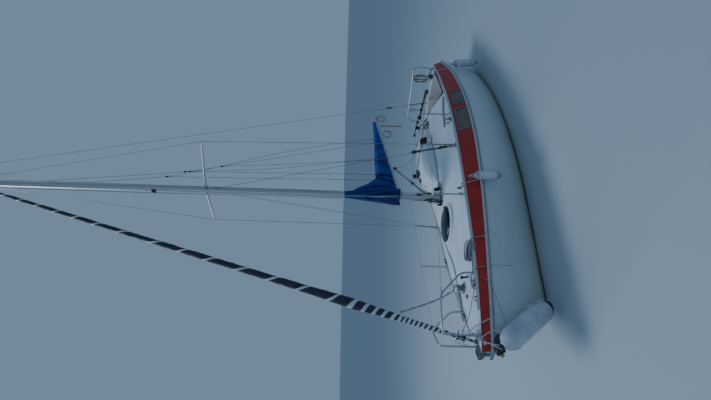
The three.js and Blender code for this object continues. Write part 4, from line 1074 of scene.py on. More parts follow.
def coverHeld(point):
    x, y, z = point
    if z > 2.8 or x < -2.04:
        return 1
    boomTop = 1.865 + (0.049 - x) * 0.1223 + 0.09
    if x < 0.16 and z < boomTop:
        return 1
    if x < 0 and abs(y) < 0.016 and z > 2.24:
        return 0.8
    if x > 0.4 and abs(y - 0.05) < 0.03:
        return 0.7
    return 0.04


def sailCover():
    form = Form()
    form.skin([[vec(x + a * long, b * wide, z) for a, b in oval(28, 2.1)]
        for z, x, long, wide in coverShape["mastRings"]])
    form.skin([[vec(x, b * wide, (low + high) / 2 + a * (high - low) / 2) for a, b in oval(28, 2.2)]
        for x, low, high, wide in coverShape["boomRings"]])
    bmesh.ops.recalc_face_normals(form.mesh, faces=form.mesh.faces[:])
    data = bpy.data.meshes.new("coverBase")
    form.mesh.to_mesh(data)
    form.mesh.free()
    base = stand("coverBase", data)
    remesh = base.modifiers.new("fuse", "REMESH")
    remesh.mode = "VOXEL"
    remesh.voxel_size = coverShape["voxel"]
    soften = base.modifiers.new("soften", "SMOOTH")
    soften.factor = 0.5
    soften.iterations = coverShape["settle"]
    whole = worked(base)
    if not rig.quick():
        whole = clothPass(whole, coverHeld)
    mesh = bmesh.new()
    mesh.from_mesh(whole)
    moves = [coverFolds(v.co, v.normal) * v.normal for v in mesh.verts]
    # Painted shade, kept per point: darker where the folds push in, lighter where they stand out, and darker over the
    # whole mast part
    shades = []
    for vertex, move in zip(mesh.verts, moves):
        x, _, z = vertex.co
        depth = move.dot(vertex.normal)
        onMast = clamp((x + 0.1) / 0.3)
        shades.append(clamp(0.62 + depth / 0.04 - 0.3 * onMast))
        vertex.co += move
    # The skirt under the mast part is open: its floor is drawn up inside the hem
    for vertex in mesh.verts:
        x, y, z = vertex.co
        reach = hypot((x - 0.312) / 0.105, y / 0.118)
        if z < 1.925 and x > 0.12 and reach < 1:
            vertex.co.z += 0.1 * (1 - reach ** 4)
    bmesh.ops.smooth_vert(mesh, verts=mesh.verts[:], factor=0.4, use_axis_x=True, use_axis_y=True,
        use_axis_z=True)
    for face in mesh.faces:
        face.smooth = True
    mesh.to_mesh(whole)
    tree = BVHTree.FromBMesh(mesh)
    mesh.free()
    paintedFoldShadeLayer = whole.attributes.new("foldDepth", "FLOAT", "POINT")
    paintedFoldShadeLayer.data.foreach_set("value", shades)
    whole.name = "sailCover"
    return whole, tree


coverMesh, coverTree = sailCover()
# The cover turns from the mast to the boom between these
swingLine = dict(start=(0.3, 0, 2.2), end=(-0.1, 0, 2.2))
cover = settle("sailCover", coverMesh, None, ["coverCanvas"], "canvas")
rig.blend(cover, "hull", "boom", **swingLine)
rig.replaces(cover, "sail_cover_mast", "sail_cover_boom")
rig.padded(cover, fill=0.35)
print("sail cover folded")

# Zip of the cover: a pale tape with its teeth, down the front
zipTape = dict(high=2.835, low=1.935, wide=0.0065, thick=0.0022, head=22, foot=38)


def coverSurface(origin, direction):
    return coverTree.ray_cast(Vector(origin), Vector(direction))[:2]


# The cover's skin seen from outside, level with a point inside it
def coverAround(x, z, angle):
    out = vec(cos(angle), sin(angle), 0)
    return coverSurface(vec(x, 0, z) + out, -out)


def zipLine(count, turn=0):
    parts = [k / (count - 1) for k in range(count)]
    return [coverAround(0.3, zipTape["high"] + (zipTape["low"] - zipTape["high"]) * part,
        radians(zipTape["head"] + (zipTape["foot"] - zipTape["head"]) * part) + turn) for part in parts]


points, outs = zip(*zipLine(44))
w, t = zipTape["wide"], zipTape["thick"]
form = Form().strip(points, ((-w, -0.002), (-w, t), (w, t), (w, -0.002)), list(outs))
form.strip([p + n * t for p, n in zip(points, outs)], mm((-2.5, -1), (-2.5, 2.2), (2.5, 2.2), (2.5, -1)),
    list(outs), 1)
made = form.piece("coverZip", ["zip", "whitePlastic"], "canvas", body=None)
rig.blend(made, "hull", "boom", **swingLine)

# Fenders: moulded bodies with coloured ends, eyes at both ends and laid lanyards
fenders = (
    dict(name="midFender", node="fender_port_mid", low=(1.04, 1.04, 0.52), high=(1.04, 1.04, 0.96),
         radius=0.064, tail=0.03, ends="blueVinyl", cap=0.085),
    dict(name="quarterFender", node="fender_port_quarter", low=(-2.935, 1.042, 0.095),
         high=(-2.8, 1.042, 0.64), radius=0.076, tail=0.034, ends="blueVinyl", cap=0.075))


def fenderBody(form, low, high, radius, tail, cap, sides=36, head=1):
    low, high = Vector(low), Vector(high)
    axis = (high - low).normalized()
    length = (high - low).length
    half = [(0, 0), (0.004, radius * 0.24), (0.01, radius * 0.34), (tail * 0.8, radius * 0.4),
        (tail, radius * 0.46), (tail + radius * 0.22, radius * 0.72), (tail + radius * 0.5, radius * 0.88),
        (tail + radius * 0.85, radius * 0.97), (cap, radius * 0.985), (cap + 0.004, radius * 0.985)]
    white = [(cap + 0.004, radius * 0.985), (cap + 0.008, radius), (length - cap - 0.008, radius),
        (length - cap - 0.004, radius * 0.985)]
    half = sorted(half)
    form.turned(half, low, axis, sides, 1)
    form.turned(half, high, -axis, sides, head)
    form.turned(white, low, axis, sides)
    for end, out in ((low, -axis), (high, axis)):
        across = sidewards(axis)
        eye = [end + out * (-0.004 + 0.013 * sin(a)) + across * 0.012 * cos(a) for a in circle(16)]
        form.hoop(eye, 0.0065, 8, 1)


for item in fenders:
    form = Form()
    fenderBody(form, item["low"], item["high"], item["radius"], item["tail"], item["cap"])
    x = item["high"][0]
    railOut = edge(x, 1) + 0.04
    path = smoothPath([(x, edge(x, 3) - 0.01, edge(x, 4) + 0.032),
        (x, edge(x, 3) + 0.008, edge(x, 4) + 0.006), (x, (edge(x, 3) + railOut) / 2 + 0.006,
        (edge(x, 4) + edge(x, 2)) / 2), (x, railOut, edge(x, 2) + 0.004), (x, (railOut + item["high"][1]) / 2,
        item["high"][2] + 0.06), Vector(item["high"]) + up * 0.006], 0.012)
    form.tube(path, 0.0048, 8, 2)
    knot = Vector(item["high"]) + up * 0.016
    for k, (dx, dy) in enumerate(((0.9, 0.2), (-0.6, 0.8), (0.1, -1))):
        ring = [knot + vec(0.01 * cos(a) * (1 + 0.1 * k), 0.009 * sin(a), 0.006 * k + 0.004 * sin(a + k))
            for a in circle(14)]
        form.hoop(ring, 0.0042, 7, 2)
    made = form.piece(item["name"], ["vinyl", item["ends"], "rope"], "fender_vinyl")
    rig.replaces(made, item["node"])

# The big fender lashed at the bow, lying along the stem
bowFender = dict(low=(2.8, 0.225, 0.105), high=(3.47, 0.225, 0.9), radius=0.152)
form = Form()
fenderBody(form, bowFender["low"], bowFender["high"], bowFender["radius"], 0.04, 0.15, 48, 0)
bowTop = Vector(bowFender["high"])
form.bent([bowTop, (3.405, 0.19, 1.04), (3.33, 0.15, 1.16), (3.256, 0.134, 1.186)], 0.012, 0.006, 8, 2)
made = form.piece("bowFender", ["bowVinyl", "navyVinyl", "rope"], "fender_vinyl")
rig.replaces(made, "fender_bow")
print("fenders hung")

# Windows: a frame on the cabin side round each pane, a sill bead and a pleated curtain inside
windows = dict(
    fore=((-0.215, 0.945), (-0.875, 0.908), (-0.9, 0.722), (-0.24, 0.748)),
    aft=((-1.07, 0.893), (-1.53, 0.876), (-1.58, 0.7), (-1.1, 0.712)))
windowTrim = dict(corner=0.05, wide=0.013, thick=0.006, grow=0.006, inside=0.036, pleat=0.013,
    pleatPitch=0.062)


def roundedOutline(corners, grow, radius, steps=6):
    middle = (sum(x for x, z in corners) / 4, sum(z for x, z in corners) / 4)
    wide = [(x + copysign(grow, x - middle[0]), z + copysign(grow, z - middle[1])) for x, z in corners]
    made = []
    for number, (x, z) in enumerate(wide):
        ends = []
        for other in (wide[number - 1], wide[(number + 1) % 4]):
            long = hypot(other[0] - x, other[1] - z)
            ends.append((x + (other[0] - x) * radius / long, z + (other[1] - z) * radius / long))
        for k in range(steps + 1):
            t = k / steps
            made.append(tuple((1 - t) ** 2 * ends[0][i] + 2 * t * (1 - t) * (x, z)[i] + t * t * ends[1][i]
                for i in range(2)))
        following = wide[(number + 1) % 4]
        long = hypot(following[0] - x, following[1] - z)
        last = made[-1]
        stop = (following[0] + (x - following[0]) * radius / long,
            following[1] + (z - following[1]) * radius / long)
        made += [(last[0] + (stop[0] - last[0]) * k / 8, last[1] + (stop[1] - last[1]) * k / 8)
            for k in range(1, 8)]
    return made


# The cabin side as a smooth surface, y over x and z, read round a window
def sideSurface(outline):
    rows, values = [], []
    for x, z in outline:
        hit = deckTree.ray_cast(vec(x, 2, z), vec(0, -1, 0))[0]
        rows.append((1, x, z, x * x, x * z, z * z))
        values.append(hit.y)
    solved = np.linalg.lstsq(np.array(rows), np.array(values), rcond=None)[0]

    def surface(x, z):
        y = float(np.dot(solved, (1, x, z, x * x, x * z, z * z)))
        normal = vec(-(solved[1] + 2 * solved[3] * x + solved[4] * z), 1,
            -(solved[2] + solved[4] * x + 2 * solved[5] * z)).normalized()
        return vec(x, y, z), normal
    return surface


screwSpots = []  # place and facing of the small screws set later


def screw(place, facing=up):
    screwSpots.append((place, facing))


for windowName, corners in windows.items():
    surface = sideSurface(roundedOutline(corners, 0.035, 0.06))
    for side, sign in sides:
        flip = vec(1, sign, 1)
        spots = [surface(x, z) for x, z in roundedOutline(corners, windowTrim["grow"], windowTrim["corner"])]
        points = [p * flip for p, _ in spots]
        outs = [n * flip for _, n in spots]
        w, t = windowTrim["wide"], windowTrim["thick"]
        form = Form().strip(points, ((-w, -0.006), (-w, t * 0.6), (-w * 0.6, t), (w * 0.6, t), (w, t * 0.6),
            (w, -0.006)), outs, loop=True)
        form.strip([p + n * 0.001 for p, n in zip([q[0] * flip
            for q in (surface(x, z) for x, z in roundedOutline(corners, -0.01, 0.045))], outs)],
            mm((-4, -12), (-4, 3), (4, 3), (4, -12)), outs, 1, loop=True)
        form.piece(f"windowFrame_{windowName}_{side}", ["frameGrey", "rubber"], "alloy")
        for k in range(0, len(points), 5):
            screw(points[k] + outs[k] * t, outs[k])
        # Curtain: gathered on a rod above the pane, hanging inside the cabin
        xs = [x for x, z in corners]
        zs = [z for x, z in corners]
        fore, aft, high, low = max(xs) + 0.03, min(xs) - 0.03, max(zs) + 0.03, min(zs) - 0.02

        def backOf(x, z):
            return surface(x, min(z, max(zs)))[0].y - windowTrim["inside"]

        count = round((fore - aft) / 0.006)
        rows = []
        for k in range(count + 1):
            x = fore + (aft - fore) * k / count
            wave = sin(2 * pi * (fore - x) / windowTrim["pleatPitch"] + 0.8 * sin(5 * x))
            row = []
            for j in range(7):
                z = high + (low - high) * j / 6
                y = backOf(x, z) - windowTrim["pleat"] * wave * (0.55 + 0.45 * j / 6)
                row.append(vec(x, y * sign, z))
            rows.append(row)
        form = Form()
        form.skin(rows, ring=False)
        curtain = form.piece(f"curtain_{windowName}_{side}", ["curtain"], "canvas", 80)
        # Painted shade, kept per point: dark in the pleat valleys away from the window, light on the folds nearest the
        # glass
        depth = curtain.data.attributes.new("foldDepth", "FLOAT", "POINT")
        for number, vertex in enumerate(curtain.data.vertices):
            x, y, z = vertex.co
            back = backOf(x, z)
            depth.data[number].value = 0.5 + 0.5 * clamp((abs(y) - back) / windowTrim["pleat"], -1)
        thick = curtain.modifiers.new("cloth", "SOLIDIFY")
        thick.thickness = 0.0015
        thick.offset = 0
        cloth = sum(face.area for face in curtain.data.polygons)
        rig.sheet(curtain, (round(cloth / (high - low), 2), round(high - low, 3)), "gathered",
            ["deck_moulding"])
        pole = Form().tube([(fore + 0.02, backOf(fore, high) * sign, high - 0.006),
            (aft - 0.02, backOf(aft, high) * sign, high - 0.006)], 0.004)
        pole.piece(f"curtainRod_{windowName}_{side}", ["stainless"], "stainless")
print("windows framed")


# Small parts used in several places
def rod(form, start, end, radius, index=0, sides=10):
    start, end = Vector(start), Vector(end)
    soft = min(radius * 0.4, (end - start).length * 0.2)
    axis = (end - start).normalized()
    long = (end - start).length
    form.knob([(0, radius - soft), (soft, radius), (long - soft, radius), (long, radius - soft)], start, axis,
        sides, index)


def bottleScrew(form, foot, head, body=0.1, lift=0.045, thick=0.0085):
    foot, head = Vector(foot), Vector(head)
    axis = (head - foot).normalized()
    rod(form, foot - axis * 0.012, foot + axis * (lift + 0.01), thick * 0.55)
    form.knob([(0, thick * 0.9), (0.012, thick), (body * 0.3, thick * 0.86), (body * 0.7, thick * 0.86),
        (body - 0.012, thick), (body, thick * 0.9)], foot + axis * lift, axis, 8)
    rod(form, foot + axis * (lift + body), foot + axis * (lift + body + 0.05), thick * 0.6)


def pulleyBlock(form, centre, axis, size, shell=0, wheel=1):
    centre, axis = Vector(centre), Vector(axis).normalized()
    across = sidewards(axis)
    for side in (-1, 1):
        rows = []
        for a in circle(14):
            rows.append(centre + axis * size * cos(a) + axis.cross(across) * size * 0.55 * sin(a))
        form.skin([[p + across * size * 0.3 * side for p in rows],
            [p + across * size * 0.42 * side for p in rows]], index=shell)
    form.knob([(-size * 0.28, size * 0.5), (-size * 0.1, size * 0.4), (size * 0.1, size * 0.4),
        (size * 0.28, size * 0.5)], centre, across, 16, wheel)
    rod(form, centre - across * size * 0.5, centre + across * size * 0.5, size * 0.13, wheel)


def ropeLine(name, points, thick, material="halyard", slot="sailcloth", step=0.05, sides=8, body="hull"):
    return Form().bent(points, step, thick / 2, sides).piece(name, [material], slot, 60, body)


# Standing rigging: bottle screws, covers over the shroud screws, tangs and the backstay's fitting
shroudFoot = dict(upper=(0.059, 0.925, 1.071), lower=(0.094, 0.925, 1.07))
shroudHead = dict(upper=(0.064, 0.836, 5.2), lower=(0.249, 0.05, 5.03))
screwCover = dict(radius=0.0095, low=0.1, high=0.42)
for side, sign in sides:
    flip = vec(1, sign, 1)
    form = Form()
    for key in ("upper", "lower"):
        foot, head = Vector(shroudFoot[key]) * flip, Vector(shroudHead[key]) * flip
        bottleScrew(form, foot + (head - foot).normalized() * 0.012, head)
        form.block(foot - up * 0.004, (10, 24, 30))
    form.piece(f"shroudScrews_{side}", ["stainless"], "stainless")
    foot, head = Vector(shroudFoot["upper"]) * flip, Vector(shroudHead["upper"]) * flip
    axis = (head - foot).normalized()
    r = screwCover["radius"]
    Form().knob([(screwCover["low"], r), (screwCover["low"] + 0.01, r * 1.06), (screwCover["high"] - 0.02, r),
        (screwCover["high"], r * 0.55)], foot, axis, 16).piece(f"screwCover_{side}", ["greyPlastic"],
        "black_plastic")
    tip = Form().block((0.064, 0.836 * sign, 5.208), (40, 30, 34), edge=0.35)
    tip.piece(f"spreaderCap_{side}", ["whitePlastic"], "alloy")
    form = Form().block((0.258, 0.05 * sign, 5.205), (95, 20, 55))
    form.block((0.262, 0.046 * sign, 5.04), (30, 8, 80))
    form.block((0.216, 0.046 * sign, 9.2), (30, 8, 100))
    for x, z in ((0.262, 5.06), (0.215352, 9.225)):
        rod(form, (x, 0.048 * sign, z), (x, 0.058 * sign, z), 0.007)
    form.piece(f"mastTangs_{side}", ["stainless"], "stainless")
backFoot, backHead = vec(-3.36, -0.19, 0.968), vec(0.03, 0, 10.1)
backAxis = (backHead - backFoot).normalized()
form = Form()
bottleScrew(form, backFoot + backAxis * 0.01, backHead, 0.12)
form.piece("backstayScrew", ["stainless"], "stainless")
at = (1.827 - backFoot.z) / backAxis.z
form = Form().knob(mm((-75, 7), (-55, 14), (-20, 18), (30, 17), (60, 10), (80, 6)), backFoot + backAxis * at,
    backAxis, 14)
form.piece("backstayFitting", ["blackPlastic"], "black_plastic")

# Lifelines from the pulpit over the stanchion heads to the pushpit, with their end fittings
lifeline = dict(radius=0.0024, sag=0.01, head=0.012)
for side, sign in sides:
    heads = [vec(2.795, 0.394, 1.592)]
    for post in ("fore", "aft"):
        low, high = (Vector(corner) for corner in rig.box(f"stanchion_{post}_{side}"))
        heads.append(vec((low.x + high.x) / 2, abs(low.y + high.y) / 2, high.z - lifeline["head"]))
    heads.append(vec(-3.36, 0.69, 1.12))
    path = [a.lerp(b, t) - up * lifeline["sag"] * 4 * t * (1 - t) * (b - a).length / 2 for a, b in zip(heads,
        heads[1:]) for t in (k / 12 for k in range(12))]
    path = [p * vec(1, sign, 1) for p in [*path, heads[-1]]]
    form = Form().tube(path, lifeline["radius"])
    for a, b in ((path[0], path[1]), (path[-1], path[-2])):
        axis = (b - a).normalized()
        form.knob(mm((10, 6), (30, 7.5), (90, 7.5), (110, 5), (130, 3)), a, axis, 10, 1)
    for head in path[12:-1:12]:
        form.knob(mm((-12, 6), (0, 8.5), (12, 6)), head, (1, 0, 0), 10, 1)
    form.piece(f"lifeline_{side}", ["wire", "stainless"], "wire")

# Feet of the rails: round flanges, each with its screws
footSpots = []
for side, sign in sides:
    for x, y in ((3.25, 0.118), (2.44, 0.424), (-3.33, 0.655), (-3.353, 0.39)):
        footSpots.append((x, y * sign))
    for post in ("fore", "aft"):
        low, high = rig.box(f"stanchion_{post}_{side}")
        footSpots.append(((low[0] + high[0]) / 2, (low[1] + high[1]) / 2))
form = Form()
for x, y in footSpots:
    spot = onDeck(x, y)
    form.turned(mm((-12, 0), (-12, 37), (3, 38), (7, 34), (9, 20), (20, 16.5), (22, 0)), spot, up)
    for k in range(4):
        a = pi / 4 + k * pi / 2
        screw(spot + vec(0.027 * cos(a), 0.027 * sin(a), 0.0075))
form.piece("railFlanges", ["stainless"], "stainless")


# Mast: sail groove, steaming light, halyards, cleats and the gear at its foot
def mastAt(z, forward=0, y=0):
    return vec(0.32 - 0.0129 * (z - 1.175) + forward, y, z)


halfMast = 0.0575
form = Form()
groove = [mastAt(2.9 + 7.2 * k / 24, -halfMast - 0.001) for k in range(25)]
form.strip(groove, mm((-9, -4), (-9, 4), (-4, 4), (-3.5, 0.5), (3.5, 0.5), (4, 4), (9, 4), (9, -4)),
    vec(-1, 0, 0))
form.piece("sailGroove", ["galvanised"], "alloy")
form = Form()
light = mastAt(6.07, halfMast + 0.016)
form.block(light, (44, 62, 75))
form.turned(mm((-30, 0), (-30, 26), (12, 28), (22, 20), (26, 0)), light + vec(0.012, 0, -0.004), up, 18, 1)
form.block(mastAt(6.19, halfMast + 0.004), (14, 20, 20), index=2)
form.piece("steamingLight", ["whitePlastic", "window", "blackPlastic"], "alloy")
ropeLine("jibHalyard", mm((288.8155, 12, 8980), (345, 12, 8584), (374, 10, 7269), (389, 10, 6277),
    (398, 12, 4444), (406, 14, 3938), (414, 20, 2900), (418, 30, 2855)), 0.008, step=0.08)
# The other halyards run beside the mast: thickness, then height, distance forward and to port
halyards = dict(
    mainHalyard=(0.008, (10.02, -0.09, 0), (8, -0.088, 0.004), (6, -0.086, 0.002), (4.2, -0.084, 0.003),
                 (2.87, -0.078, 0)),
    spareHalyard=(0.007, (9.95, 0.0875, -0.02), (7.5, 0.0795, -0.024), (5.2, 0.0755, -0.026),
                  (2.88, 0.0675, -0.03)),
    halyardTailA=(0.008, (1.92, 0.1025, 0.03), (1.6, 0.0775, 0.024), (1.42, 0.0715, 0.016)),
    halyardTailB=(0.007, (1.9, -0.062, 0.036), (1.6, -0.066, 0.046), (1.24, -0.07, 0.052)))
for name, (thick, *spots) in halyards.items():
    ropeLine(name, [mastAt(*spot) for spot in spots], thick, step=0.08)

form = Form()
seat = mastAt(1.42, halfMast + 0.012)
form.block(seat - vec(0.004, 0, 0), (24, 26, 60))
form.block(seat + vec(0.018, 0, 0), (18, 20, 165), edge=0.45)
for y in (-0.052, 0.052):
    seat = mastAt(1.56, 0, y)
    form.block(seat, (30, 20, 50))
    form.block(seat + vec(0, copysign(0.014, y), 0), (18, 14, 130), edge=0.45)
form.piece("mastCleats", ["blackMetal"], "black_metal")
form = Form()
footGear = mm((465, 30, 44), (450, -50, 40), (165, 70, 50), (165, -60, 46), (225, 115, 40), (120, 10, 44))
for number, (x, y, size) in enumerate(footGear):
    spot = onDeck(x, y, size)
    pulleyBlock(form, spot, (0.3, 0.1 * number, 1), size)
    form.block(spot - up * size * 0.9, (34, 26, 12), index=1)
form.block(mastAt(1.375, -halfMast - 0.022), (46, 60, 90), ("Y", 0.1), 0.3, 0, 3)
form.piece("footBlocks", ["blackPlastic", "stainless"], "black_plastic")
# Halyard ends hung in a bunch on the mast's fore side, over the cleat
form = Form()
for k in range(9):
    spread = (k - 4) * 0.0085
    low = 0.155 + 0.018 * sin(k * 2.1)
    ring = [mastAt(1.4, halfMast + 0.026 + 0.006 * (k % 3), spread + (0.022 + 0.006 * sin(k)) * sin(a))
        + vec(0.012 * (1 - cos(a)) * (0.6 + 0.2 * sin(k)), 0, -low * (1 - cos(a)) / 2) for a in circle(26)]
    form.hoop(ring, 0.0042)
for k in range(3):
    ring = [mastAt(1.375 - 0.01 * k, halfMast + 0.034) + vec(0.02 * cos(a), 0.04 * sin(a),
        0.002 * sin(2 * a)) for a in circle(20)]
    form.hoop(ring, 0.0042)
form.piece("halyardBunch", ["darkLine"], "sailcloth", 60)
form = Form()
for k in range(7):
    ring = []
    for a in circle(28):
        radius = 0.05 + 0.007 * (k % 3)
        spot = vec(0.15 + radius * 1.25 * cos(a + 0.2 * k), 0.115 + radius * sin(a + 0.2 * k), 0)
        ring.append(onDeck(spot.x, spot.y, 0.006 + 0.008 * (k // 3) + 0.003 * sin(3 * a + k)))
    form.hoop(ring, 0.004)
form.piece("footCoil", ["halyard"], "sailcloth", 60)
print("mast dressed")

# Lazy jacks: fixed high on the mast, dividing at small blocks and ending on hooks along the cover's top
lazyJack = dict(thick=0.0055, turnStart=(0.2, 0, 7.87), turnEnd=(0.1, 0, 7.35))
jackLines = {
    "port": [((0.178, 0.048, 7.87), (-0.144, 0.07, 5.645), (-0.33, 0.07, 5.04)),
             ((-0.144, 0.07, 5.645), (-0.17, 0.07, 4.517), (-0.221, 0.06, 2.317)),
             ((-0.33, 0.07, 5.04), (-0.466, 0.07, 3.8), (-0.672, 0.055, 2.29)),
             ((-0.33, 0.07, 5.04), (-0.565, 0.07, 4.572), (-1, 0.066, 3.56), (-1.404, 0.045, 2.29))],
    "stbd": [((0.178, -0.048, 7.87), (-0.175, -0.07, 5.99), (-0.34, -0.07, 5.625)),
             ((-0.175, -0.07, 5.99), (-0.178, -0.07, 5.237), (-0.215, -0.06, 2.317)),
             ((-0.34, -0.07, 5.625), (-0.5, -0.07, 4.1), (-0.868, -0.055, 2.285)),
             ((-0.34, -0.07, 5.625), (-0.78, -0.07, 4.3), (-1.404, -0.045, 2.29))]}
for side, sign in sides:
    form = Form()
    for points in jackLines[side]:
        form.bent(points, 0.06, lazyJack["thick"] / 2, 7)
    for spot in jackLines[side][0][1:]:
        pulleyBlock(form, spot, (0.3, 0, 1), 0.026, 1, 2)
    for spot in (Vector(points[-1]) for points in jackLines[side][1:]):
        form.block(spot - up * 0.006, (12, 10, 34), edge=0.35, index=1)
        hook = [spot + vec(0.01 * cos(a), 0, -0.03 + 0.012 * sin(a)) for a in (pi * (0.5 + 1.5 * k / 10)
            for k in range(11))]
        form.tube(hook, 0.0026, 6, 2)
    made = form.piece(f"lazyJack_{side}", ["darkLine", "blackPlastic", "stainless"], "wire", 60, body=None)
    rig.blend(made, "hull", "boom", start=lazyJack["turnStart"], end=lazyJack["turnEnd"])
ropeLine("jackFallPort", [(0.2, 0.05, 7.86), mastAt(5.5, -0.03, 0.052), mastAt(2.9, -0.02, 0.06)], 0.005,
    "darkLine", step=0.2)


# Boom: end casting with its bolts, outhaul, straps of the cover and the vang's fittings
def boomLow(x):
    return 1.865 + (0.049 - x) * 0.1223


form = Form()
tilt = ("Y", atan(0.123))
end = vec(-2.3, 0, boomLow(-2.3) + 0.045)
form.block(end, (34, 66, 100), tilt, 0.25, 0, 3)
for z in (-0.026, 0.026):
    rod(form, end + vec(-0.006, -0.037, z), end + vec(-0.006, 0.037, z), 0.006, 1)
form.knob(mm((-11, 24), (11, 24)), end + vec(-0.02, 0, 0.012), (0, 1, 0), 18, 2)
bail = [vec(-2.225, y, boomLow(-2.225) - 0.004 + z) for y, z in mm((-33, 40), (-35, 0), (-28, -34), (0, -46),
    (28, -34), (35, 0), (33, 40))]
form.bent(bail, 0.01, 0.004, 8, 1)
form.piece("boomEnd", ["alloy", "stainless", "blackPlastic"], "alloy", body="boom")
ropeLine("outhaul", [(-2.33, 0, boomLow(-2.3) + 0.062), (-2.3, 0, boomLow(-2.3) + 0.102),
    (-2.18, 0, boomLow(-2.18) + 0.104), (-2.1, 0, boomLow(-2.1) + 0.11)], 0.007, body="boom")
form = Form()
for x in (-0.36, -0.8, -1.24, -1.68, -2.03):
    low = boomLow(x)
    loop = []
    for a in circle(30):
        direction = vec(0, cos(a), sin(a))
        centre = vec(x, 0, low + 0.085)
        hit = coverTree.ray_cast(centre + direction * 0.4, -direction)[0]
        reach = (hit - centre).length if hit else 0.05
        place = centre + direction * (max(reach, 0.035) + 0.0015)
        place.z = max(place.z, low - 0.003)
        loop.append(place)
    loop = [vec(x, p.y * (1 if p.z > low + 0.03 else 0.9), p.z) for p in loop]
    outs = [(p - vec(x, 0, low + 0.085)).normalized() for p in loop]
    form.strip(loop, mm((-10, -1), (-10, 1.5), (10, 1.5), (10, -1)), outs, loop=True)
form.piece("coverStraps", ["canvasTrim"], "canvas", 40, body="boom")
form = Form()
head = vec(-0.5, 0, 1.915)
rod(form, head + vec(0, -0.03, 0), head + vec(0, 0.03, 0), 0.008)
form.block(head + vec(0.006, 0, -0.012), (60, 46, 42), tilt, 0.3, 1)
foot = vec(0.213, 0, 1.452)
form.block(foot + vec(-0.022, 0, 0.01), (50, 44, 56), None, 0.3, 1)
axis = (head - foot).normalized()
form.knob(mm((300, 24.5), (305, 27), (335, 27), (345, 22.5)), foot, axis, 20, 1)
form.piece("vangFittings", ["stainless", "blackPlastic"], "black_plastic", body="boom")
slack = Form().tube(smoothPath(mm((-487, 20, 1880), (-300, 200, 1790), (-80, 470, 1712), (60, 680, 1690),
    (118, 772, 1715)), 0.04), 0.0032, 7)
slack = slack.piece("strapLine", ["darkLine"], "wire", 60, body=None)
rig.blend(slack, "hull", "boom", start=(0.118, 0.772, 1.715), end=(-0.487, 0.02, 1.88))
print("boom dressed")

# Block and tackle stowed on the port lower shroud
tackle = dict(foot=(0.1, 0.928, 1.085), side=0.022, top=1.765, low=1.285)
foot, head = Vector(shroudFoot["lower"]), Vector(shroudHead["lower"])
axis = (head - foot).normalized()


def besideShroud(z):
    return foot + axis * ((z - foot.z) / axis.z) + vec(0.01, tackle["side"], 0)


form = Form()
upper, lower = besideShroud(tackle["top"] - 0.05), besideShroud(tackle["low"])
pulleyBlock(form, upper, axis, 0.048)
pulleyBlock(form, upper - axis * 0.075, axis, 0.036)
pulleyBlock(form, lower, axis, 0.042)
pulleyBlock(form, lower - axis * 0.068, axis, 0.034)
form.block(lower + axis * 0.035 + vec(0.02, 0, 0), (30, 20, 30))
form.bent([upper + axis * 0.05, upper + axis * 0.085, upper + axis * 0.11 - vec(0.006, 0.016, 0)], 0.01,
    0.004, 8, 1)
for number, (dx, dy, material) in enumerate(((0.014, 0.01, 2), (-0.014, 0.008, 2), (0.01, -0.008, 3),
        (-0.008, -0.01, 3))):
    shift = vec(dx, dy, 0)
    path = []
    for k in range(15):
        t = k / 14
        a = 2 * pi * (0.8 * t + number / 4)
        path.append((upper - axis * 0.07).lerp(lower + axis * 0.02, t) + shift * (1 - 0.9 * sin(pi * t))
            + 0.01 * sin(pi * t) * vec(cos(a), sin(a), 0))
    form.tube(path, 0.0042, 7, material)
for k in range(5):
    z = tackle["low"] - 0.09 - 0.022 * k
    ring = [besideShroud(z) + vec(0.016 * cos(a), 0.014 * sin(a) - 0.008, 0.006 * sin(a + k))
        for a in circle(16)]
    form.hoop(ring, 0.0042, 7, 2 + k % 2)
form.tube(smoothPath([lower - axis * 0.1, besideShroud(1.14), Vector(tackle["foot"]) + vec(0, 0.006, 0)],
    0.02), 0.005, 8, 1)
form.piece("stowedTackle", ["blackPlastic", "stainless", "brownRope", "darkLine"], "black_plastic")


# Bow: lashings of the big fender, chafe guard, roller cheeks, clevis gear under the drum
def knotLump(form, centre, size, seed):
    pick = random.Random(seed)
    centre = Vector(centre)
    for _ in range(4):
        tilt = Quaternion((pick.uniform(-1, 1), pick.uniform(-1, 1), pick.uniform(-1, 1)), pick.uniform(0, 3))
        ring = [centre + tilt @ vec(size * cos(a), size * 0.75 * sin(a), 0.2 * size * sin(2 * a))
            for a in circle(18)]
        form.hoop(ring, 0.0062)


bowLines = {
    "bowLashA": dict(thick=0.015, points=mm(
        (3250, 135, 1240), (3262, 200, 1270), (3245, 300, 1225), (3180, 345, 1080), (3110, 352, 930),
        (3040, 360, 742), (2945, 372, 480), (2868, 355, 300))),
    "bowLashB": dict(thick=0.015, points=mm(
        (3300, 110, 1130), (3290, 175, 1095), (3265, 238, 1010), (3262, 255, 945), (3300, 238, 872),
        (3345, 225, 866))),
    "bowLashC": dict(thick=0.016, points=mm(
        (3345, 120, 1090), (3392, 170, 1040), (3450, 195, 980), (3505, 205, 925), (3500, 222, 898)))}
for name, item in bowLines.items():
    ropeLine(name, item["points"], item["thick"], "rope", "fender_vinyl", 0.02, 9)
form = Form()
for number, (place, size) in enumerate((((3.252, 0.15, 1.205), 0.026), ((3.3, 0.125, 1.115), 0.024),
        ((3.352, 0.12, 1.075), 0.024), ((3.285, 0.105, 1.06), 0.02), ((2.862, 0.35, 0.285), 0.03),
        ((2.842, 0.335, 0.235), 0.026))):
    knotLump(form, place, size, number)
form.piece("bowKnots", ["rope"], "fender_vinyl", 60)
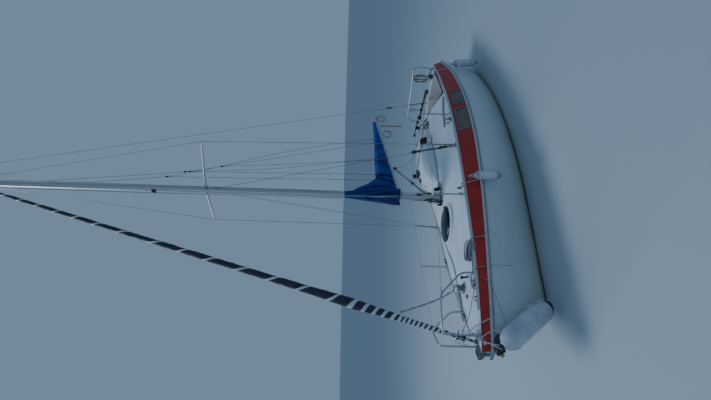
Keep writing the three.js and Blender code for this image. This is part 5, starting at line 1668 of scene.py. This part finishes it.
# Chafe guard: a black rubber pad between the fender's head and the stem, with a buffer and a beige stop
form = Form()
pad = smoothPath(mm((3545, 165, 915), (3470, 190, 945), (3390, 205, 925), (3310, 225, 880)), 0.02)
form.strip(pad, mm((-62, -8), (-66, 0), (-58, 10), (0, 14), (58, 10), (66, 0), (62, -8)),
    vec(0.3, 0.62, 0.72))
form.piece("chafeGuard", ["rubber"], "black_plastic")
form = Form().turned(mm((-34, 0), (-30, 22), (-12, 32), (12, 32), (30, 22), (34, 0)), (3.512, 0.178, 0.955),
    (0.4, 0.3, 1), 16)
form.turned(mm((-30, 0), (-24, 20), (0, 27), (24, 20), (30, 0)), (3.535, 0.12, 0.9), (0.5, 0.2, 1), 14, 1)
form.piece("stemBuffers", ["rubber", "amber"], "black_plastic")
# Stem head: roller with its cheeks' bolts, shackle and toggle under the drum
form = Form()
for y in (-0.046, 0.046):
    form.turned(mm((-7, 0), (-7, 12), (4, 13), (9, 9), (10, 0)), (3.435, y, 1.075), (0, copysign(1, y), 0),
        12, 1)
    form.knob(mm((-6, 9), (4, 10), (7, 6)), (3.33, y, 1.062), (0, copysign(1, y), 0), 12, 1)
form.knob(mm((-30, 30), (-10, 21), (10, 21), (30, 30)), (3.435, 0, 1.098), (0, 1, 0), 20)
form.piece("bowRoller", ["blackPlastic", "galvanised"], "galvanised")
form = Form().block(stayFoot + stayAxis * 0.02, (30, 34, 46), ("Y", -0.359))
rod(form, stayFoot + vec(0, -0.03, 0.006), stayFoot + vec(0, 0.03, 0.006), 0.0065, 1)
rod(form, stayFoot + stayAxis * 0.055 + vec(0, -0.028, 0), stayFoot + stayAxis * 0.055 + vec(0, 0.028, 0),
    0.006, 1)
form.knob(mm((30, 13), (50, 16), (95, 16), (106, 12)), stayFoot, stayAxis, 12, 2)
form.piece("stayToggle", ["stainless", "galvanised", "wood"], "stainless")
# Drum: the line wound between two plates, inside a cage of round hoops and rods that stays still
drum = dict(bore=0.01, core=0.034, plate=0.066, cage=0.078, low=0.138, high=0.248, line=0.0042)
drumTurn = Matrix.Rotation(atan2(stayAxis.x, stayAxis.z), 3, "Y")


def aroundStay(along, radius, angle):
    return stayFoot + stayAxis * along + drumTurn @ vec(radius * cos(angle), radius * sin(angle), 0)


form = Form()
low, high, core, plate = (drum[key] for key in ("low", "high", "core", "plate"))
form.turned([(low - 0.01, drum["bore"]), (low - 0.01, 0.028), (low - 0.006, 0.03), (low, 0.031),
    (low + 0.001, plate - 0.003), (low + 0.003, plate), (low + 0.008, plate), (low + 0.01, plate - 0.003),
    (low + 0.012, core), (high - 0.012, core), (high - 0.01, plate - 0.003), (high - 0.008, plate),
    (high - 0.003, plate), (high - 0.001, plate - 0.003), (high, 0.03), (high + 0.02, 0.028),
    (high + 0.076, 0.023), (high + 0.082, 0.02), (high + 0.082, drum["bore"])], stayFoot, stayAxis, 40)
form.tube([aroundStay(low + 0.018 + 0.0093 * a / (2 * pi), core + drum["line"] * 0.9, a) for a in helix(9)],
    drum["line"], 6, 1)
made = form.piece("drumSpool", ["blackPlastic", "darkLine"], "black_plastic", body="furler")
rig.replaces(made, "furling_drum")
form = Form()
for along, radius in ((low - 0.03, drum["cage"]), (low + 0.052, drum["cage"]),
        (high + 0.006, drum["cage"] * 0.99)):
    form.hoop([aroundStay(along, radius, 2 * pi * k / 40) for k in range(40)], 0.004, 8)
for k in range(4):
    a = pi * (k / 2 + 0.25)
    path = [aroundStay(low - 0.036, 0.012, a), aroundStay(low - 0.034, 0.045, a),
        aroundStay(low - 0.03, drum["cage"], a), aroundStay(low + 0.01, drum["cage"] + 0.006, a),
        aroundStay(high - 0.02, drum["cage"] + 0.006, a), aroundStay(high + 0.006, drum["cage"], a)]
    form.bent(path, 0.012, 0.004)
form.knob([(low - 0.052, 0.014), (low - 0.048, 0.017), (low - 0.024, 0.017), (low - 0.02, 0.013)], stayFoot,
    stayAxis, 18, 1)
form.piece("drumCage", ["stainless", "whitePlastic"], "stainless")
lead = [aroundStay(low + 0.045, 0.052, 2.3), (3.115, 0.1, 1.3), (2.98, 0.17, 1.22), (2.8, 0.27, 1.165)]
ropeLine("furlingLead", smoothPath(lead) + [onDeck(2.66, 0.335, 0.028), onDeck(2.566, 0.352, 0.04)], 0.008,
    "darkLine", "wire", 0.04)
print("bow dressed")

# Foredeck: filler cap, mooring post with its rope turns, chocks, lever post and cleated turns
form = Form()
spot = onDeck(2.545, 0.049)
form.knob(mm((-6, 34), (2, 36), (5, 33), (6, 24)), spot, up, 28, 1)
form.knob(mm((0, 22), (10, 21), (12, 18)), spot, up)
form.block(spot + up * 0.014, (26, 7, 6))
form.piece("fillerCap", ["blackPlastic", "amber"], "black_plastic")
form = Form()
post = onDeck(2.372, 0.262)
path = smoothPath([post - up * 0.004, post + vec(-0.01, -0.02, 0.045), post + vec(-0.032, -0.052, 0.085)],
    0.012)
form.tube(path, [0.016 - 0.0005 * k for k in range(len(path))], 10)
form.turned(mm((-22, 0), (-17, 18), (0, 27), (17, 18), (22, 0)), path[-1], (0.3, 0.4, 1), 16)
form.turned(mm((-4, 0), (-4, 26), (4, 27), (8, 20), (10, 0)), post, up, 20, 1)
form.piece("leverPost", ["blackPlastic", "stainless"], "black_plastic")
bittSeat = onDeck(2.35, 0)
form = Form()
for k in range(4):
    ring = [bittSeat + vec(0.034 * cos(a), 0.034 * sin(a), 0.024 + 0.0125 * k + 0.0125 * j / 26)
        for j, a in enumerate(circle(26))]
    form.tube(ring, 0.0062)
for k in range(2):
    ring = [bittSeat + vec((0.05 + 0.018 * k) * cos(a) + 0.01, (0.046 + 0.016 * k) * sin(a),
        0.01 + 0.003 * sin(2 * a + k)) for a in circle(30)]
    form.hoop(ring, 0.0062, 8)
form.piece("bittTurns", ["greyRope"], "sailcloth", 60)
form = Form().knob(mm((112, 60), (118, 66), (126, 66), (130, 60), (131, 40), (126, 30)), bittSeat, up, 32)
form.turned(mm((120, 0), (120, 30), (132, 28), (136, 20), (137, 0)), bittSeat, up, 24, 1)
form.piece("bittCap", ["stainless", "blackPlastic"], "stainless")


def cleatTurns(form, centre, axis):
    centre, axis = Vector(centre), Vector(axis).normalized()
    across = up.cross(axis)
    for k in range(3):
        path = [centre + axis * (0.06 + 0.004 * k) * sin(a) + across * (0.017 + 0.004 * k) * sin(2 * a)
            + up * (0.012 + 0.009 * k + 0.006 * cos(2 * a)) for a in circle(40)]
        form.hoop(path, 0.0056)


form = Form()
for side, sign in sides:
    cleatTurns(form, onDeck(2.56, 0.356 * sign, 0.018), (1, 0.12 * -sign, 0))
cleatTurns(form, onDeck(-2.9, 0.791, 0.014), (1, 0, 0))
form.piece("cleatTurns", ["rope"], "sailcloth", 60)
form = Form()
for x, sign in ((2.795, 1), (2.64, 1), (2.483, -1), (1.02, 1), (-0.64, 1), (-2.6, 1), (-2.6, -1), (1.02, -1),
        (-0.64, -1)):
    seat = onDeck(x, (edge(x, 3) - 0.045) * sign)
    form.block(seat + up * 0.005, (110, 24, 10))
    for end in (-1, 1):
        path = smoothPath([seat + vec(0.036 * end, 0, 0.004), seat + vec(0.04 * end, 0, 0.026),
            seat + vec(0.02 * end, 0, 0.032), seat + vec(0.01 * end, 0, 0.03)], 0.008)
        form.tube(path, 0.0065)
        screw(seat + vec(0.046 * end, 0, 0.0105))
form.piece("chocks", ["blackMetal"], "black_metal")
form = Form()
for x, y in ((-0.582, 0.955), (-0.712, 0.955), (1.095, 0.72), (0.988, 0.745)):
    seat = onDeck(x, y)
    form.block(seat + up * 0.006, (60, 26, 12), index=1)
    pulleyBlock(form, seat + up * 0.034, (0, 0, 1), 0.026)
form.piece("sheetBlocks", ["blackPlastic", "stainless"], "black_plastic")
ropeLine("bandPipe", mm((2425, 478, 1100), (2425, 512, 1055), (2422, 530, 960), (2420, 545, 885)), 0.013,
    "greyRope", "sailcloth", 0.02)
ropeLine("bandTail", [(2.42, 0.547, 0.89), (2.416, 0.552, 0.78), (2.414, 0.553, 0.6)], 0.005, "darkLine",
    "wire", 0.03)
ropeLine("bandLine", mm((2516, 440, 1085), (2575, 485, 1030), (2663, 485, 944), (2900, 420, 885),
    (3214, 330, 812)), 0.007, "greyRope", "sailcloth", 0.03)
print("foredeck dressed")

# Fore hatch: rubber seal, hinges with their screws, and screws round its ring
hatchX, ringTop = 1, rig.box("fore_hatch_ring")[1][2]
form = Form()
seal = [vec(hatchX + 0.292 * cos(a), 0.292 * sin(a), ringTop + 0.001) for a in circle(72)]
form.hoop(seal, 0.0045, 8)
form.piece("hatchSeal", ["rubber"], "black_plastic")
form = Form()
for y in (-0.11, 0.11):
    centre = vec(hatchX - sqrt(0.3 ** 2 - y * y), y, ringTop + 0.004)
    form.block(centre, (60, 40, 10), ("Z", atan2(-y, 0.28)))
    for end in (-0.01, 0.01):
        screw(centre + vec(-0.018, end, 0.0055))
form.piece("hatchHinges", ["blackPlastic"], "black_plastic")
for k in range(10):
    a = 2 * pi * (k + 0.5) / 10
    screw(vec(hatchX + 0.322 * cos(a), 0.322 * sin(a), ringTop - 0.004))

# Hood: ropes led aft, turned winch drums with their rope turns, the cloth cap, blocks and the slide's lip
hoodRope = mm((200, 70), (43, 140), (-54, 220), (-345, 345), (-620, 385), (-790, 385))
ropeLine("hoodRope", [*(onDeck(x, y, 0.012) for x, y in hoodRope), (-0.88, 0.395, 1.372),
    (-0.9, 0.394, 1.376)], 0.009, "greyRope", "sailcloth", 0.04)
ropeLine("hoodLine", [onDeck(x, y, 0.009) for x, y in ((0.205, -0.04), (0.05, -0.1), (-0.2, -0.165),
    (-0.45, -0.2))] + [(-0.545, -0.25, 1.47)], 0.008, "halyard", "sailcloth", 0.04)
winchPlaces = dict(winch_halyard=(-0.56, -0.215, 1.432), winch_stbd=(-0.895, -0.358, 1.318),
    winch_port=(-0.895, 0.358, 1.318))
for name, (x, y, z) in winchPlaces.items():
    form = Form()
    profile = mm((-60, 0), (-60, 62), (12, 62), (18, 60), (22, 54), (26, 44))
    for k in range(7):
        profile += [(0.03 + 0.008 * k, 0.0355 + 0.0004 * k), (0.033 + 0.008 * k, 0.0372),
            (0.036 + 0.008 * k, 0.0355)]
    profile += mm((90, 40), (94, 48), (98, 49.5), (102, 47), (108, 40), (112, 34), (114, 18), (108, 14),
        (108, 0))
    form.turned(profile, (x, y, z), up, 32)
    form.knob(mm((-70, 74), (4, 68), (10, 64), (13, 56)), (x, y, z), up, 36, 2)
    form.tube([vec(x + 0.042 * cos(a), y + 0.042 * sin(a), z + 0.036 + 0.011 * a / (2 * pi))
        for a in helix(3)], 0.0048, 7, 1)
    made = form.piece(name + "_made", ["blackMetal", "greyRope", "white"], "black_metal")
    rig.replaces(made, name)
form = Form()
cap = winchPlaces["winch_port"]
rows = []
for height, radius in mm((16, 82), (24, 86), (50, 80), (74, 69), (88, 64), (112, 58), (124, 46), (130, 28),
        (132, 0)):
    if radius:
        rows.append([vec(cap[0] + radius * (1 + 0.03 * sin(5 * a + 9 * height)) * cos(a),
            cap[1] + radius * (1 + 0.03 * sin(5 * a + 9 * height)) * sin(a), cap[2] + height)
            for a in circle(40)])
    else:
        rows.append([vec(cap[0], cap[1], cap[2] + height)])
form.skin(rows)
form.piece("winchCap", ["blackCloth"], "canvas")
form = Form().block(onDeck(-0.572, -0.16, 0.012), (135, 90, 50), ("Z", radians(8)), 0.35, 0, 3)
form.block(onDeck(-0.415, -0.2, 0.01), (120, 60, 34), ("Z", radians(14)), 0.35, 0, 3)
form.piece("winchBlocks", ["blackPlastic"], "black_plastic")
form = Form().block((-1.64, 0, 1.33), (22, 540, 40), ("Y", radians(-7.8)), 0.3, 0, 3)
path = smoothPath(mm((-1600, -70, 1326), (-1606, -66, 1356), (-1608, 0, 1362), (-1606, 66, 1356),
    (-1600, 70, 1326)), 0.012)
form.tube(path, 0.007, 10, 1)
form.piece("slideLip", ["wood", "stainless"], "wood", body="slide")
print("hood dressed")

# Cockpit: wood rim round the opening, seat slats, the sole's grating and dials on the bulkhead
rim = ((-1.8, 0.888), (-2.1, 0.862), (-2.4, 0.828), (-2.7, 0.783), (-3, 0.712), (-3.078, 0.688))
for side, sign in sides:
    path = [onDeck(-1.606, 0.916 * sign, 0.01), *(onDeck(x, (y + 0.022) * sign, 0.008) for x, y in rim)]
    form = Form().strip(smoothPath(path), mm((-20, -12), (-20, 4), (-15, 8), (15, 8), (20, 4), (20, -12)), up)
    front = [onDeck(-1.603, y * sign, 0.006) for y in (0.262, 0.36, 0.46, 0.6, 0.76, 0.905)]
    form.strip(smoothPath(front), mm((-16, -10), (-16, 4), (-11, 8), (11, 8), (16, 4), (16, -10)), up)
    form.piece(f"cockpitRim_{side}", ["wood"], "wood", 50)
    form = Form()
    for k in range(7):
        y = (0.31 + 0.062 * k) * sign
        form.block((-2.3, y, 0.668), (1240 - 20 * k, 48, 16))
    form.piece(f"seatSlats_{side}", ["wood"], "wood")
form = Form()
for k in range(9):
    form.block((-2.33, -0.2 + 0.05 * k, 0.258), (1200, 36, 16))
for k in range(4):
    form.block((-1.85 - 0.32 * k, 0, 0.251), (40, 440, 8), edge=0.2)
form.piece("soleGrating", ["wood"], "wood")
form = Form().block((-1.64, 0.5, 0.93), (20, 90, 90), edge=0.25)
form.knob(mm((0, 36), (6, 36), (8, 30)), (-1.648, 0.5, 0.93), (-1, 0, 0), 24, 1)
form.block((-1.638, -0.48, 0.93), (18, 110, 80), edge=0.25)
for k in range(3):
    rod(form, (-1.64, -0.51 + 0.03 * k, 0.93), (-1.658, -0.51 + 0.03 * k, 0.93), 0.006, 1)
form.piece("bulkheadDials", ["blackPlastic", "stainless"], "black_plastic")
print("cockpit dressed")

# Tiller: the extension's two tubes with their clamps, and the tiller's own
form = Form()
start, end = vec(-1.625, 0, 1.4385), vec(-2.385, 0, 1.263)
along = (end - start).normalized()
over = vec(-along.z, 0, along.x) * -1
for shift in (-0.0085, 0.0085):
    rod(form, start + vec(0, shift, 0), end + vec(0, shift, 0), 0.0075, 0, 12)
for t, size, drop in ((0.03, 36, 40), (0.42, 58, 88), (0.7, 38, 46), (0.95, 60, 80)):
    form.block(start.lerp(end, t) + vec(0, 0.004, 0.014 - drop / 2000), (52, size, drop),
        ("Y", atan2(-along.z, along.x)), 0.2)
made = form.piece("extensionTubes", ["blackMetal"], "black_metal", body="rudder")
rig.replaces(made, "tiller_extension")
form = Form()
tillerTop = [vec(-2.4, 0, 1.262), vec(-2.7, 0, 1.19), vec(-2.95, 0, 1.132)]
for spot, size in zip(tillerTop, (52, 50, 56)):
    form.block(spot - up * 0.012, (42, size, 46), ("Y", 0.23))
form.piece("tillerClamps", ["blackMetal"], "black_metal", body="rudder")
print("tiller dressed")

# Stern: a cased lump with its bent pipe, the legs of the hung line and a bar along the deck
form = Form()
lump = onDeck(-3.15, 0.56)
form.block(lump + up * 0.035, (90, 80, 80), ("Z", 0.4), 0.35, 0, 3)
form.block(lump + vec(-0.02, 0.01, 0.085), (50, 60, 40), ("Z", 0.2), 0.35, 0, 3)
pipePath = smoothPath([onDeck(-3.19, 0.59, -0.002), (-3.2, 0.586, 0.965), (-3.205, 0.62, 0.995),
    (-3.2, 0.69, 0.99), (-3.19, 0.735, 0.965), onDeck(-3.185, 0.748, -0.002)], 0.015)
form.tube(pipePath, 0.011, 10)
form.piece("sternLump", ["blackPlastic"], "black_plastic")
hank = vec(-3.352, 0.4, 1.29)
for number, (x, y) in enumerate(((-3.2, 0.5), (-3.24, 0.62), (-3.36, 0.5))):
    ropeLine(f"hankLeg{number}", [hank, hank.lerp(onDeck(x, y, 0.002), 0.5) - up * 0.01, onDeck(x, y, 0.002)],
        0.005, "greyRope", "sailcloth", 0.04)
bar = [onDeck(-0.61, 0.853, 0.014), onDeck(-1.05, 0.915, 0.013), onDeck(-1.49, 0.971, 0.014)]
ropeLine("sideBar", bar, 0.024, "greyPlastic", "alloy", 0.06, 12)
print("stern dressed")

# Heads and stitches: one tree sets a small round body on every point, turned to the point's own facing
repeated = growTree("repeatOnPoints", [
    ("Geometry", "Geometry"), ("Radius", "Float"), ("Depth", "Float"), ("Variation", "Float"),
        ("Seed", "Int"),
    ("Finish", "Material")], dict(
        head=("GeometryNodeMeshCylinder", {}, {"Vertices": 8}),
        facing=("GeometryNodeInputNamedAttribute", dict(data_type="FLOAT_VECTOR"), {"Name": "facing"}),
        align=("FunctionNodeAlignRotationToVector", dict(axis="Z"), {}),
        low=("ShaderNodeMath", dict(operation="SUBTRACT"), {0: 1}),
        high=("ShaderNodeMath", dict(operation="ADD"), {0: 1}),
        vary=("FunctionNodeRandomValue", dict(data_type="FLOAT"), {}),
        instance=("GeometryNodeInstanceOnPoints", {}, {}),
        realize=("GeometryNodeRealizeInstances", {}, {}),
        paint=("GeometryNodeSetMaterial", {}, {})), [
            ("start", "Radius", "head", "Radius"), ("start", "Depth", "head", "Depth"),
            ("start", "Variation", "low", 1), ("start", "Variation", "high", 1),
            ("low", 0, "vary", 2), ("high", 0, "vary", 3), ("start", "Seed", "vary", "Seed"),
            ("facing", "Attribute", "align", "Vector"), ("start", "Geometry", "instance", "Points"),
            ("head", "Mesh", "instance", "Instance"), ("align", "Rotation", "instance", "Rotation"),
            ("vary", 1, "instance", "Scale"), ("instance", "Instances", "realize", "Geometry"),
            ("realize", "Geometry", "paint", "Geometry"), ("start", "Finish", "paint", "Material"),
            ("paint", "Geometry", "end", "Geometry")])


def repeat(name, spots, radius, depth, variation, seed, body, material, slot):
    points = bpy.data.meshes.new(name + "Points")
    points.from_pydata([tuple(place) for place, _ in spots], [], [])
    held = points.attributes.new("facing", "FLOAT_VECTOR", "POINT")
    for number, (_, facing) in enumerate(spots):
        held.data[number].vector = facing
    base = stand(name + "Points", points)
    modifier = base.modifiers.new("repeat", "NODES")
    modifier.node_group = repeated
    values = dict(Radius=radius, Depth=depth, Variation=variation, Seed=seed, Finish=finish[material])
    for socket in repeated.interface.items_tree:
        if socket.in_out == "INPUT" and socket.name in values:
            modifier[socket.identifier] = values[socket.name]
    made = worked(base)
    made.name = name
    made.materials.clear()
    for face in made.polygons:
        face.use_smooth = False
    return settle(name, made, body, [material], slot)


for foreSpot in range(9):
    spotX = 2.55 - 0.66 * foreSpot
    for side, sign in sides:
        screw(vec(spotX, (edge(spotX, 3) - 0.012) * sign, edge(spotX, 4) + 0.036))
repeat("screwHeads", screwSpots, 0.0046, 0.003, 0.06, 7, "hull", "stainless", "stainless")


def stitchRow(path, outs, pitch, lift=0.0006):
    spots, gone, due = [], 0, 0
    for a, b, out in zip(path, path[1:], outs):
        span = (b - a).length
        while span and due <= gone + span:
            t = (due - gone) / span
            spots.append((a.lerp(b, t) + out * lift, (b - a).normalized()))
            due += pitch
        gone += span
    return spots


stitchRows = [([(point + normal * zipTape["thick"], normal) for point, normal in zipLine(60, shift / 0.12)],
    0.011) for shift in (-0.0052, 0.0052)]
stitchRows += [([coverAround(0.32, z, radians(-118 + 236 * k / 89)) for k in range(90)], 0.013)
    for z in (1.935, 1.953, 2.822)]
stitchRows += [([coverSurface((-0.26 - 1.8 * k / 89, y, 3), -up) for k in range(90)], 0.013)
    for y in (-0.02, 0.02)]
stitches = []
for found, pitch in stitchRows:
    path, outs = zip(*((point, normal) for point, normal in found if point is not None))
    stitches += stitchRow(path, outs, pitch)
made = repeat("coverStitches", stitches, 0.0009, 0.0075, 0.1, 11, None, "zip", "canvas")
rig.blend(made, "hull", "boom", **swingLine)
print("screws and stitches set:", len(screwSpots), len(stitches))

# Floor at the waterline and soft studio light
floorRadius, floorCorners = 150, 96
floorMesh = bpy.data.meshes.new("floor")
turns = circle(floorCorners)
floorMesh.from_pydata([(floorRadius * cos(a), floorRadius * sin(a), 0) for a in turns], [],
    [range(floorCorners)])
floor = bpy.data.objects.new("floor", floorMesh)
bpy.context.scene.collection.objects.link(floor)
floorFinish = newMaterial("paleFloor", Base_Color=(0.42, 0.48, 0.54, 1), Roughness=0.6)[0]
floorMesh.materials.append(floorFinish)
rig.stage(floor)

world = bpy.data.worlds.new("studio")
bpy.context.scene.world = world
world.use_nodes = True
world.node_tree.nodes["Background"].inputs["Color"].default_value = (0.46, 0.7, 1, 1)
world.node_tree.nodes["Background"].inputs["Strength"].default_value = 0.36
lamps = [
    dict(name="key", place=(1.5, -5, 12), aim=(0, 0, 1), size=4.5, power=680, colour=(0.8, 0.9, 1)),
    dict(name="side", place=(10, 8, 6), aim=(0, 0, 0.8), size=8, power=150, colour=(0.75, 0.88, 1)),
]
for lamp in lamps:
    data = bpy.data.lights.new(lamp["name"], "AREA")
    data.size = lamp["size"]
    data.energy = lamp["power"]
    data.color = lamp["colour"]
    light = bpy.data.objects.new(lamp["name"], data)
    light.location = lamp["place"]
    light.rotation_euler = (Vector(lamp["aim"]) - light.location).to_track_quat("-Z", "Y").to_euler()
    bpy.context.scene.collection.objects.link(light)
print("stage lit")

sizes = dict(cad=[list(corner) for corner in cadBox], shown=[list(corner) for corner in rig.bounds()])
with open("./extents.json", "w") as sizeFile:
    json.dump(sizes, sizeFile)
